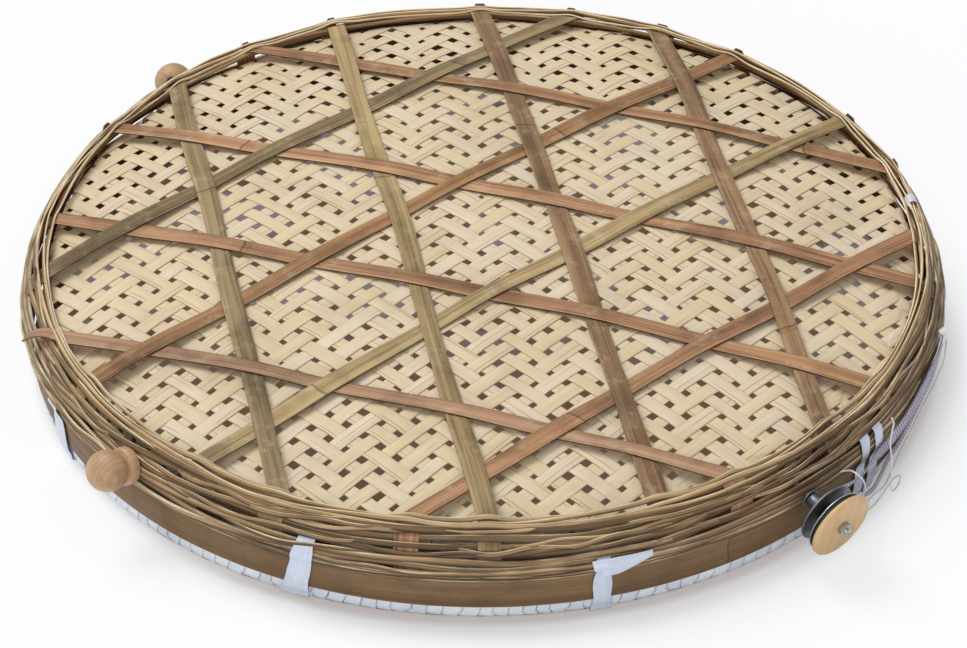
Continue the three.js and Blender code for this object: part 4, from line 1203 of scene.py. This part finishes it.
def tape_surface():
    """Grid of the winding: angle = 360 * (turn + step + place round the section) / turns, and each turn
    is pushed out by its step."""
    rng = np.random.default_rng(81)
    outline = tape_section(32)
    count = len(TAPE_STEPS)
    turn = np.repeat(np.arange(TURNS), count)
    step = np.tile(TAPE_STEPS, TURNS)
    uneven = np.cumsum(1 + rng.uniform(-0.28, 0.28, TURNS))
    uneven = np.concatenate([[0], uneven]) / uneven[-1] * TURNS
    start = uneven[turn] + step * (uneven[turn + 1] - uneven[turn])
    sides = np.linalg.norm(np.roll(outline, -1, 0) - outline, axis=1)
    place = (np.cumsum(sides) - sides) / sides.sum()
    angle = 360 * (start[:, None] + place[None, :]) / TURNS
    height = rng.uniform(0.5, 1.2, TURNS)[turn] * TAPE_RISE * np.clip(step / 0.95, 0, 1)
    sag = (rng.uniform(-0.25, 0.15, TURNS)[turn] * np.sin(np.pi * step))[:, None]
    middle = outline.mean(0)
    away = unit(outline - middle)
    grown = outline[None] + away[None] * (height - 0.2)[:, None, None]
    r = grown[..., 0]
    z = np.maximum(grown[..., 1] + sag * (grown[..., 1] < 5), 0.02)
    grid = polar(r, angle, z)
    n, k = grid.shape[:2]
    i, j = np.meshgrid(np.arange(n), np.arange(k), indexing="ij")
    i2 = (i + 1) % n
    wrap = j == k - 1
    j2 = np.where(wrap, 0, j + 1)
    next_turn, next_turn2 = np.where(wrap, (i + count) % n, i), np.where(wrap, (i2 + count) % n, i2)
    quads = np.stack([i * k + j, i2 * k + j, next_turn2 * k + j2, next_turn * k + j2], -1).reshape(-1, 4)
    phase = np.concatenate([turn + step, [TURNS]])
    u = np.stack([phase[i], phase[i + 1], phase[i + 1], phase[i]], -1)
    v = np.stack([j, j, j + 1, j + 1], -1) / k
    shade = np.repeat(rng.uniform(0, 1, TURNS), count)
    return grid.reshape(-1, 3), quads, np.stack([u, v], -1).reshape(-1, 2), np.repeat(shade, k)


points, quads, corners, shade = tape_surface()
tape = build("tape_winding", points, [quads], [corners], {"shade": shade})

TAPE_WHITE, tree, shader = material("tape_white")
into_turn = maths("FRACT", split(surface_place(tree))[0])
seam = maths("MAXIMUM", ramp(into_turn, 0.93, 0.985), ramp(into_turn, 0.0, 0.05, 1.0, 0.0))
shade_value = attribute(tree, "shade")
place = object_place(tree)
tape_colour = blend(shade_value, seen(242, 249, 255), seen(222, 234, 249))
cloudy = ramp(noise(place, 160.0), 0.3, 0.75)
tape_colour = blend(times(cloudy, 0.3), tape_colour, seen(214, 222, 234))
open_seam = ramp(shade_value, 0.62, 0.8, 0.16, 0.75)
tape_colour = blend(times(seam, open_seam), tape_colour, seen(96, 96, 106))
weathered(shader, tape_colour, 0.34, 0.12, 30.0, Specular_IOR_Level=0.4)
bump(shader, plus(noise(place, 220.0), times(seam, -1.5)), 0.0003)
finish_piece(tape, "tape", TAPE_WHITE, *(f"hoop_winding_{n}" for n in range(1, 5)))
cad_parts["rim_hoop"].data.materials.clear()
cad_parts["rim_hoop"].data.materials.append(INNER_BAMBOO)
print("tape turns:", TURNS)

# %% [markdown]
# Short lengths of the same tape tie the band to the wall. They are soft and flat: they hug the hoop and
# the band, bulge a little over the step between them, and dive in between two rows at the top.

# %% Tape ties
TIE_TAPE, tree, shader = material("tie_tape")
streaky = use(GRAIN, {
    "Along": surface_place(tree), "Shade": attribute(tree, "shade"), "Light": seen(232, 237, 248),
    "Dark": seen(192, 203, 222), "Run": 20.0, "Fineness": 700.0, "Contrast": 0.9,
})
weathered(shader, streaky["Colour"], 0.3, 0.1, 60.0, Specular_IOR_Level=0.4)
bump(shader, plus(streaky["Grain"], noise(object_place(tree), 260.0)), 0.00025)


TAPE_HALF_THICK = 0.32


def wall_tie(angle, lean, top, half, seed):
    """A tie of tape from under the hoop up to a height, hugging hoop, band and rows; its top stands past
    its foot by the lean, in degrees, and its last millimetres dive in between two rows."""
    foot = [(290.6, 0.4), (293.0, 1.3), (293.6, 5.0), (295.2, 9.4), (295.8, 20.0), (296.4, 30.5)]
    wall = [(wall_radius(z) + 1.0, z) for z in np.linspace(36.0, top - 2.5, 4)]
    dive = [(wall_radius(top) - 0.4, top - 0.3), (wall_radius(top) - 2.8, top + 0.8)]
    line = curve_through(foot + wall + dive, 7)
    at = angle + lean * line[:, 1] / top
    centre = polar(line[:, 0], at, line[:, 1])
    side = outward(at + 90)
    face = unit(np.cross(side, directions(centre)))
    edge = half * (1.22 - 0.42 * line[:, 1] / top) + wander(line[:, 1], seed, 30, 0.35)
    return ribbon(centre, side, face, edge, TAPE_HALF_THICK)


TIES = {
    "tie_1": (-153.4, -0.8, 40.9, 8.2), "tie_2": (-113.0, 2.2, 50.5, 7.4),
    "tie_3": (-76.0, 0.0, 45.0, 5.4), "tie_4": (-35.2, 0.0, 53.0, 4.6),
    "tie_4b": (-38.3, 0.3, 53.0, 4.6),
}
for number, (name, (at, lean, top, half)) in enumerate(TIES.items()):
    tie = wall_tie(at, lean, top, half, 720 + number)
    laid(f"{name}_tape", [tie], "tape", TIE_TAPE, name, shades=[number / 5])
print("straight ties:", len(TIES))

# %% [markdown]
# One tie at the front is doubled over at the top and its free end sticks out to the right, cut on a
# slant. Another tie goes over the rim at the right. Both are ribbons along a few chosen places.

# %% Folded end and rim tie
WALL_MM_PER_DEGREE = 5.21


def wall_ribbon(places, half):
    """A ribbon on the wall from (angle, height, distance out, half-width share) places."""
    line = curve_through([(a * WALL_MM_PER_DEGREE, z, out, share) for a, z, out, share in places], 6)
    at, z, out, share = line[:, 0] / WALL_MM_PER_DEGREE, line[:, 1], line[:, 2], line[:, 3]
    centre = polar(wall_radius(z) + out, at, z)
    run = directions(centre)
    face = unit(outward(at) - run * (outward(at) * run).sum(1)[:, None])
    return ribbon(centre, np.cross(face, run), face, half * share, TAPE_HALF_THICK)


DOUBLED_TOP = [
    (-77.3, 40.4, 0.9, 1), (-76.2, 41.6, 1.5, 1.05), (-75.0, 41.2, 1.6, 0.95), (-74.3, 39.6, 1.0, 0.8),
]
FREE_END = [
    (-76.3, 38.6, 1.4, 1), (-74.6, 39.6, 1.9, 1.05), (-72.6, 41.2, 1.6, 0.75), (-70.2, 43.4, 1.2, 0.36),
]
fold = [wall_ribbon(DOUBLED_TOP, 4.2), wall_ribbon(FREE_END, 6.2)]
laid("tie_3_folded_end", fold, "tape", TIE_TAPE, "tie_3_fold", shades=[0.1, 0.4])

OVER_RIM = [
    (281.9, 60.0), (281.8, 64.5), (282.6, 68.0), (285.3, 69.1), (287.9, 67.6), (289.6, 64.0),
    (290.9, 60.5),
]
RIM_TIE_ANGLE = 10.0
rim_path = curve_through(OVER_RIM, 6)
at = RIM_TIE_ANGLE + np.linspace(-0.25, 0.25, len(rim_path))
centre = polar(rim_path[:, 0], at, rim_path[:, 1])
side = outward(at + 90)
face = unit(np.cross(directions(centre), side))
rim_tie = ribbon(centre, side, face, 4.4, TAPE_HALF_THICK)
laid("rim_tie_tape", [rim_tie], "tape", TIE_TAPE, "tie_5", shades=[0.3])
print("ties:", len(TIES) + 1)

# %% [markdown]
# Two wooden knobs and a round wooden button stand on the wall. Each is turned on a lathe, so each is a
# profile spun about its own axis. The axis leans with the wall's face, as the solids' axes do, and a
# matrix made from the outward direction carries the turned shape there.

# %% Fixture frames


def fixture(angle, z, tilt=None):
    """A turn and a place: local Z is the outward axis at an angle, height and tilt on the wall's face.
    Where no tilt is given, the axis stands square to that face."""
    if tilt is None:
        tilt = math.degrees(math.atan(wall_radius(z - 0.5) - wall_radius(z + 0.5)))
    a, t = math.radians(angle), math.radians(tilt)
    axis = np.array([math.cos(t) * math.cos(a), math.cos(t) * math.sin(a), math.sin(t)])
    side = unit(np.cross(UP, axis))
    turn = np.stack([side, np.cross(axis, side), axis], 1)
    return turn, polar(wall_radius(z), angle, z)


KNOB_FRONT = fixture(-136.6, 48.8)
KNOB_REAR = fixture(132.6, 40.0)
BUTTON = fixture(BUTTON_ANGLE, BUTTON_Z, BUTTON_TILT)


def turned(solid, at, profile, slot_name, made_material, sides=56, body="cover"):
    """A turned piece in place of a solid, carried to its fixture and finished. It keeps its own flat
    coordinates as attributes."""
    points, faces = lathe(profile, sides)
    turn, place = at
    values = {"radius": np.hypot(points[:, 0], points[:, 1]) * MM, "height": points[:, 2] * MM,
              "side_x": points[:, 0] * MM, "side_y": points[:, 1] * MM}
    piece = build(f"{solid}_turned", points @ turn.T + place, faces, None, values)
    return finish_piece(piece, slot_name, made_material, solid, body=body)


def rounded(outer, bore, low, high, ease=0.3, steps=3):
    """Profile of a washer or disc with eased outer corners, from its bore out and back."""
    t = np.linspace(0, np.pi / 2, steps + 1)
    bottom = [(outer - ease + ease * math.sin(a), low + ease - ease * math.cos(a)) for a in t]
    top = [(outer - ease + ease * math.cos(a), high - ease + ease * math.sin(a)) for a in t]
    middle = (outer + bore) / 2
    return [(bore, low), (middle, low)] + bottom + top + [(middle, high), (bore, high)]


for name, (_, place) in {"knob_front": KNOB_FRONT, "knob_rear": KNOB_REAR, "button": BUTTON}.items():
    print(name, "stands on the wall at height", round(float(place[2]), 1), "mm")


# %% [markdown]
# Turned wood shows its grain in two ways: long lines on the sides and arches on the round ends. Rings
# about an axis that lies across the piece give both at once, when noise bends them. The attributes kept
# at turning time serve as coordinates, so the pattern stays in the wood while the button turns.

# %% Turned wood


def turned_wood(name, light, dark, scale, rough, soil, ring_strength=0.6):
    """Wood: growth rings about an axis across the piece, fine fibre along it, and handled patches."""
    made_material, tree, shader = material(name)
    x, y, z = (attribute(tree, n) for n in ("side_x", "side_y", "height"))
    bent = noise(join(x, y, z), 70.0, 2.0)
    ring = distance(plus(x, 0.06), times(z, 0.35))
    wave = maths("SINE", plus(times(ring, scale), times(bent, 9.0)))
    fibre = noise(join(times(x, 2600.0), times(y, 160.0), times(z, 700.0)), 1.0)
    mask = plus(times(ramp(wave, -0.9, 1.0), ring_strength), times(fibre, 0.5), clamp=True)
    colour = blend(mask, seen(*dark), seen(*light))
    weathered(shader, colour, rough, soil, 55.0, Coat_Weight=0.15, Coat_Roughness=0.35)
    bump(shader, fibre, 0.00008)
    return made_material


KNOB_WOOD = turned_wood("knob_wood", (208, 170, 132), (178, 139, 102), 2300.0, 0.5, 0.3, 0.3)
BUTTON_WOOD = turned_wood("button_wood", (224, 190, 140), (208, 170, 120), 700.0, 0.42, 0.12, 0.3)

BALL_R, BALL_CENTRE = 13.1, 17.3
turns = np.linspace(math.radians(-38), math.radians(84), 20)
ball = [(BALL_R * math.cos(t), BALL_CENTRE + BALL_R * math.sin(t)) for t in turns]
KNOB_PROFILE = [
    (0, 13.3), (2.2, 13.3), (2.2, 0.4), (11.2, 0.4), (11.8, 0.8), (12.0, 1.6), (12.05, 3.6),
    (11.9, 5.4), (11.4, 6.4), (10.6, 7.0), (9.6, 7.35), (9.0, 7.7), (8.85, 8.3), (9.2, 8.9),
] + ball + [(0, 30.45)]
turned("knob_front", KNOB_FRONT, KNOB_PROFILE, "knob_wood", KNOB_WOOD)
turned("knob_rear", KNOB_REAR, KNOB_PROFILE, "knob_wood", KNOB_WOOD)
print("profile points of a knob:", len(KNOB_PROFILE))

# %% [markdown]
# All the metal is plated steel, bright on the outer parts and grey behind the button. One recipe gives
# it fine marks about the axis it was turned on, which need the radius kept with each turned piece. The
# rubber is nearly black, with fine pores.

# %% Metal and rubber


def metal(name, light, dark, rough, ring_scale):
    """Zinc-plated steel: fine turning marks about the axis, dull patches, and a little soil."""
    made_material, tree, shader = material(name)
    lines = noise(join(times(attribute(tree, "radius"), ring_scale)), 1.0, 4.0)
    dull = ramp(noise(object_place(tree), 240.0, 4.0), 0.35, 0.7)
    mask = plus(times(lines, 0.6), times(dull, 0.4), clamp=True)
    weathered(shader, blend(mask, seen(*light), seen(*dark)), rough, 0.2, 120.0, Metallic=1.0)
    bump(shader, lines, 0.00004)
    return made_material


STEEL = metal("bright_steel", (212, 214, 218), (168, 170, 174), 0.26, 9000.0)
GREY_STEEL = metal("grey_steel", (158, 160, 166), (104, 104, 110), 0.38, 7000.0)

RUBBER, tree, shader = material("black_rubber")
pores = noise(object_place(tree), 700.0, 4.0)
weathered(shader, blend(pores, seen(24, 23, 25), seen(48, 46, 48)), 0.62, 0.3, 90.0)
bump(shader, pores, 0.00008)
print("materials so far:", len(bpy.data.materials))

# %% [markdown]
# The button is a stack on a bolt: a washer on the wall, a spacer for the elastic loop, a grey plate, a
# rubber sleeve, a bright thin disc, a rubber disc and the pale wooden button under a nut. Only the
# wooden disc turns. Screws and washers hold the knobs and the bolt from inside.

# %% Button stack
GAP = 0.3
BOLT_R, BORE_R, BUTTON_BORE_R = 2.0, 2.3, 2.04
WALL_WASHER_R, WALL_WASHER_THICK = 6.0, 1.2
SPACER_R, SPACER_THICK = 4.5, 12.3
BUTTON_THICK, NUT_THICK, BOLT_END = 3.5, 3.2, 2.2
SEAT = WALL_WASHER_R * math.tan(math.radians(-BUTTON_TILT)) + GAP
STACK = [
    ("wall_washer", WALL_WASHER_R, WALL_WASHER_THICK, GREY_STEEL, "dark_steel", 0.3),
    ("button_spacer", SPACER_R, SPACER_THICK, GREY_STEEL, "dark_steel", 0.4),
    ("button_plate", 20.0, 1.3, GREY_STEEL, "dark_steel", 0.3),
    ("button_sleeve", 6.0, 6.2, RUBBER, "rubber", 0.8),
    ("steel_disc", 21.2, 0.9, STEEL, "steel", 0.25),
    ("rubber_disc", 20.5, 2.0, RUBBER, "rubber", 0.6),
]
low = SEAT
for name, outer, thick, finish_material, slot_name, ease in STACK:
    profile = rounded(outer, BORE_R, low, low + thick, ease)
    turned(name, BUTTON, profile, slot_name, finish_material, 64)
    low += thick + GAP
profile = rounded(22.4, BUTTON_BORE_R, low, low + BUTTON_THICK, 1.1, 5)
turned("wood_button", BUTTON, profile, "pale_wood", BUTTON_WOOD, 72, body="button")
nut_low = low + BUTTON_THICK + GAP
nut_high = nut_low + NUT_THICK


def hex_nut(low, high):
    """A hexagon nut: three rings of six corners, the top one drawn in for its chamfer, round a bore."""
    turn = np.radians(np.arange(6) * 60.0 + 30)
    rings = [(2.3, low), (4.2, low), (4.4, low + 0.3), (4.4, high - 0.5), (3.8, high), (2.4, high)]
    points = np.concatenate([
        np.stack([r * np.cos(turn), r * np.sin(turn), np.full(6, z)], -1) for r, z in rings
    ])
    return points, grid_faces(len(rings), 6, closed=True)[0]


points, quads = hex_nut(nut_low, nut_high)
turn, place = BUTTON
nut_values = {"radius": np.hypot(points[:, 0], points[:, 1]) * MM}
nut = build("button_nut_hexagon", points @ turn.T + place, [quads], None, nut_values, smooth=False)
finish_piece(nut, "steel", STEEL, "button_nut")


INNER_FACE_R, INNER_FLATS = 277.0, 60
WASHER_R, HEAD_R = 5.0, 3.6


def inner_depth(at):
    """Distance along a fixture's axis from the wall's face to the washer on the inner band, whose solid
    is a ring of flats: radial distance / cos(lean) + washer radius * tan(lean) + gap."""
    turn, place = at
    lean = math.asin(abs(turn[2, 2]))
    flats = INNER_FACE_R * math.cos(math.pi / INNER_FLATS)
    return (math.hypot(place[0], place[1]) - flats) / math.cos(lean) + WASHER_R * math.tan(lean) + GAP


def screw_profile(depth, shank_r, tip, pitch=0.0):
    """A domed head inside, a straight shank, and a shallow thread near the tip where it shows."""
    head = -depth - 1.3
    turns = np.linspace(0.25, math.pi / 2, 7)
    dome = [(HEAD_R * math.sin(t), head - 0.8 - 1.6 * math.cos(t)) for t in turns]
    profile = [(0, head - 2.4)] + dome + [(HEAD_R, head), (shank_r, head)]
    if pitch:
        threads = np.arange(tip - 6.5, tip - 0.4, pitch / 2)
        profile += [(shank_r - (0.22 if n % 2 else 0.0), z) for n, z in enumerate(threads)]
    return profile + [(shank_r, tip - 0.3), (shank_r - 0.5, tip), (0, tip)]


FASTENERS = {
    "knob_front": (KNOB_FRONT, 1.9, 13.0, 0.0, "_screw"),
    "knob_rear": (KNOB_REAR, 1.9, 13.0, 0.0, "_screw"),
    "button": (BUTTON, BOLT_R, nut_high + BOLT_END, 0.7, "_bolt"),
}
for name, (at, shank_r, tip, pitch, ending) in FASTENERS.items():
    depth = inner_depth(at)
    turned(name + ending, at, screw_profile(depth, shank_r, tip, pitch), "steel", STEEL, 32)
    washer = rounded(WASHER_R, shank_r + GAP, -depth - 1, -depth, 0.2)
    turned(f"{name}_washer", at, washer, "steel", STEEL, 40)
print("turned pieces:", sum("turned" in n for n in made))

# %% [markdown]
# A grey knitted elastic runs from a knot on the wall to the spacer behind the button, round it and back.
# It is a flat strap along a curve, and its knit is a grid of small holes and ribs read from its own UVs.
# Its places are given beside the button, as those of the strings are. The knot at its right end is
# the same string pulled tight, made as one thick line along a knot curve.

# %% Elastic strap
TIE_THICK, ELASTIC_THICK, ELASTIC_NARROW = 0.8, 1.0, 5.0
FACE = GAP + TIE_THICK + GAP + ELASTIC_THICK / 2
WRAP_R = SPACER_R + GAP + ELASTIC_THICK / 2
button_turn, button_place = BUTTON
axis = button_turn[:, 2]
hub_height = SEAT + WALL_WASHER_THICK + SPACER_THICK - ELASTIC_NARROW / 2
hub = axis * hub_height + button_place
HUB_OUT = math.hypot(hub[0], hub[1]) - WALL_R
UPPER = [
    (KNOT_OUT + 0.8, KNOT_ARC - 4.6, KNOT_RISE + 0.4, 5, 0),
    (FACE + 1.6, KNOT_ARC - 18.2, KNOT_RISE - 3, 8, 0),
    (FACE + 0.9, 143.8, 3.2, 10, 0), (FACE + 0.3, 124, 0, 10, 0), (FACE + 0.3, 102.6, -3.5, 10, 0),
    (FACE + 0.4, 80, -5.6, 10, 0), (FACE + 1.3, 60, -5.8, 9, 10), (HUB_OUT - 5.3, 44, -4.2, 7, 25),
    (HUB_OUT - 2.3, 28, -0.4, 5, 45), (HUB_OUT - 1.1, 15, 2, 5, 75),
]
LOWER = [
    (HUB_OUT - 1, 15.6, -9.2, 5, 75), (HUB_OUT - 2.2, 32.3, -15.8, 5, 50),
    (HUB_OUT - 4.3, 52.6, -22.8, 5, 10), (FACE + 1.1, 70, -26, 5, 0), (-1.5, 89, -26.5, 5, 0),
    (-2, 107, -24, 5, 0), (-2, 125, -20, 5, 0), (-0.5, 141, -13, 5, 0), (FACE, 156.3, -4.8, 5, 0),
    (KNOT_OUT + 0.9, KNOT_ARC - 5.2, KNOT_RISE - 4.4, 3, 0),
]


def strap_places():
    """Rows of x, y, z, width, lean and share of the button's axis in the outward direction: the upper
    run, a half turn on the hub, and the lower run."""
    upper, lower = ([(*beside(out, arc, rise), width, lean, lean >= 45)
                     for out, arc, rise, width, lean in run] for run in (UPPER, LOWER))
    side, rise = button_turn[:, 0], button_turn[:, 1]
    half_turn = [(*(hub + WRAP_R * (side * math.cos(t) + rise * math.sin(t))), ELASTIC_NARROW, 90, True)
                 for t in np.radians(90 + 45 * np.arange(5))]
    return np.array(upper + half_turn + lower, float)


line = curve_through(strap_places(), 9)
centre, width, lean, share = line[:, :3], line[:, 3], np.radians(line[:, 4]), line[:, 5:6]
away = centre * np.array([1, 1, 0])
away = unit(unit(away) * (1 - share) + axis * share)
run = directions(centre)
wide = UP * np.cos(lean)[:, None] + away * np.sin(lean)[:, None]
wide = unit(wide - run * (wide * run).sum(1)[:, None])
face = np.cross(run, wide)
scallop = 1 + 0.03 * np.sin(np.arange(len(width)) * 2.1)
strap_grid = ribbon(centre, wide, face, width / 2 * scallop, ELASTIC_THICK / 2)
strap = swept("elastic_strap", [strap_grid], shades=[0.5])

KNIT_ROW, KNIT_STITCH = 0.0022, 0.0027
KNIT, tree, shader = material("knitted_elastic")
along = surface_place(tree)
parts = split(along)
row_place = times(parts[1], 1 / KNIT_ROW)
odd = times(maths("PINGPONG", maths("FLOOR", row_place), 1.0), 0.5)
dot_u = minus(maths("FRACT", plus(times(parts[0], 1 / KNIT_STITCH), odd)), 0.5)
dot_v = minus(maths("FRACT", row_place), 0.5)
uneven = times(noise(along, 700.0, 2.0), 0.5)
yarn = ramp(plus(distance(dot_u, dot_v), uneven), 0.44, 0.66)
fuzz = noise(along, 2600.0, 2.0)
knit_colour = blend(yarn, seen(72, 62, 88), seen(202, 197, 212))
knit_colour = blend(times(fuzz, 0.35), knit_colour, seen(150, 144, 164))
weathered(shader, knit_colour, 0.85, 0.2, 80.0, Sheen_Weight=0.2)
bump(shader, yarn, 0.0004)

t = np.linspace(0, 2 * np.pi, 120)
knot_line = np.stack([
    (np.sin(t) + 2 * np.sin(2 * t)) * 0.95, (np.cos(t) - 2 * np.cos(2 * t)) * 0.95,
    -np.sin(3 * t) * 1.15,
], -1)
knot_turn, _ = fixture(BUTTON_ANGLE + math.degrees(KNOT_ARC / WALL_R), BUTTON_Z + KNOT_RISE, 0.0)
knot_centre = beside(KNOT_OUT, KNOT_ARC, KNOT_RISE)
knot = tube("elastic_knot_string", knot_line @ knot_turn.T + knot_centre, 1.25)
finish_piece(knot, "string", STRING, "elastic_knot")
finish_piece(strap, "elastic", KNIT, "elastic_band")
print("elastic length in mm:", round(float(np.linalg.norm(np.diff(centre, axis=0), axis=1).sum())))

# %% [markdown]
# The object stands on a plain white table under soft light from above. The floor keeps the shadow,
# and a share of plain white seen only by the camera lifts it to the photograph's white background.
# One wide lamp overhead gives the top its even light, a weak one lights the front, and the world fills
# the rest. The brown and lavender seen through the mat's holes are painted shade: inside the cover the
# table glows with them. Next to the foot on the front right the floor gets a painted contact shadow in
# a warm tone, and less of the white lift. From below it is clear to the camera, so that the underside
# can be seen.

# %% Floor and light
FLOOR_HALF = 12.0
floor_mesh = bpy.data.meshes.new("floor")
corners = [(x * FLOOR_HALF, y * FLOOR_HALF, 0) for x, y in ((-1, -1), (1, -1), (1, 1), (-1, 1))]
floor_mesh.from_pydata(corners, [], [(0, 1, 2, 3)])
floor = placed("floor", floor_mesh)

floor_material, tree, shader = material("white_table_with_painted_shade")
place = object_place(tree)
floor_tone = blend(noise(place, 3.0), seen(250, 250, 252), seen(244, 245, 249))
feed(shader.inputs["Roughness"], 0.7)
feed(shader.inputs["Specular IOR Level"], 0.2)
parts = split(place)
from_middle = distance(parts[0], parts[1])
beyond = ramp(from_middle, 0.275, 0.3)
# Painted shade under the cover: within the foot the table glows dark brown, and grey-lavender in patches
# on the far side, and this shows through the mat's holes.
far_side = ramp(parts[1], -0.08, 0.06)
some_places = ramp(noise(place, 14.0, 2.0), 0.5, 0.62)
painted_hollow_shade = blend(times(far_side, some_places), seen(98, 76, 58), seen(138, 130, 138))
white_lift_and_painted_shade = blend(beyond, painted_hollow_shade, (1.0, 1.0, 1.0, 1.0))
lift_glow_and_painted_shade = node(tree, "Emission", {"Color": white_lift_and_painted_shade, "Strength": 1.0}).outputs[0]
path_kind = node(tree, "LightPath").outputs
# Painted shade by the foot on the front-right side, fading out within a few centimetres.
foot = times(beyond, ramp(from_middle, 0.292, 0.33, 1.0, 0.0))
shaded_side = minus(times(parts[0], 0.5), times(parts[1], 0.85))
foot = times(foot, ramp(shaded_side, 0.0, 0.2))
# Painted contact shadow: a warm, darker floor colour right at the foot on that side.
painted_contact_shadow = times(foot, ramp(from_middle, 0.294, 0.303, 1.0, 0.0))
feed(shader.inputs["Base Color"], blend(painted_contact_shadow, floor_tone, seen(176, 146, 132)))
# The white lift for camera rays is weaker where the painted shade by the foot is.
share = times(path_kind["Is Camera Ray"], ramp(foot, 0.0, 1.0, 0.74, 0.36))
mixed = node(tree, "MixShader", {0: share, 1: shader.outputs[0], 2: lift_glow_and_painted_shade}).outputs[0]
from_below = times(node(tree, "NewGeometry").outputs["Backfacing"], path_kind["Is Camera Ray"])
clear = node(tree, "BsdfTransparent").outputs[0]
mixed = node(tree, "MixShader", {0: from_below, 1: mixed, 2: clear}).outputs[0]
feed(tree.nodes["Material Output"].inputs["Surface"], mixed)
floor_mesh.materials.append(floor_material)

world = bpy.data.worlds.new("studio")
world.use_nodes = True
bpy.context.scene.world = world
background = world.node_tree.nodes["Background"]
feed(background.inputs["Color"], (0.97, 0.98, 1.0, 1.0))
feed(background.inputs["Strength"], 0.5)


def lamp(name, place, aim, size, power):
    """A square area lamp at a place, aimed at a point; power in watts."""
    data = bpy.data.lights.new(name, "AREA")
    data.shape = "SQUARE"
    data.size = size
    data.energy = power
    light = placed(name, data)
    z_axis = unit(np.array(place, float) - np.array(aim, float))
    x_axis = unit(np.cross([0.0, 1.0, 0.001], z_axis))
    y_axis = np.cross(z_axis, x_axis)
    turn = Matrix([[*row] for row in np.stack([x_axis, y_axis, z_axis], 1)]).to_4x4()
    light.matrix_world = Matrix.Translation(place) @ turn


lamp("key", (-3.2, 2.6, 6.3), (0, 0, 0), 3.8, 338.0)
lamp("front_fill", (-0.4, -2.6, 1.1), (0, 0, 0.05), 1.6, 18.0)
print("lamps:", len(bpy.data.lights))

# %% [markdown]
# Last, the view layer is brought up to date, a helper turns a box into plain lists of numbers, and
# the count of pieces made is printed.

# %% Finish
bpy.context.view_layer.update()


def plain(box):
    """A box as nested plain lists of numbers."""
    return [[float(x) for x in corner] for corner in box]


print("pieces made:", len(made))
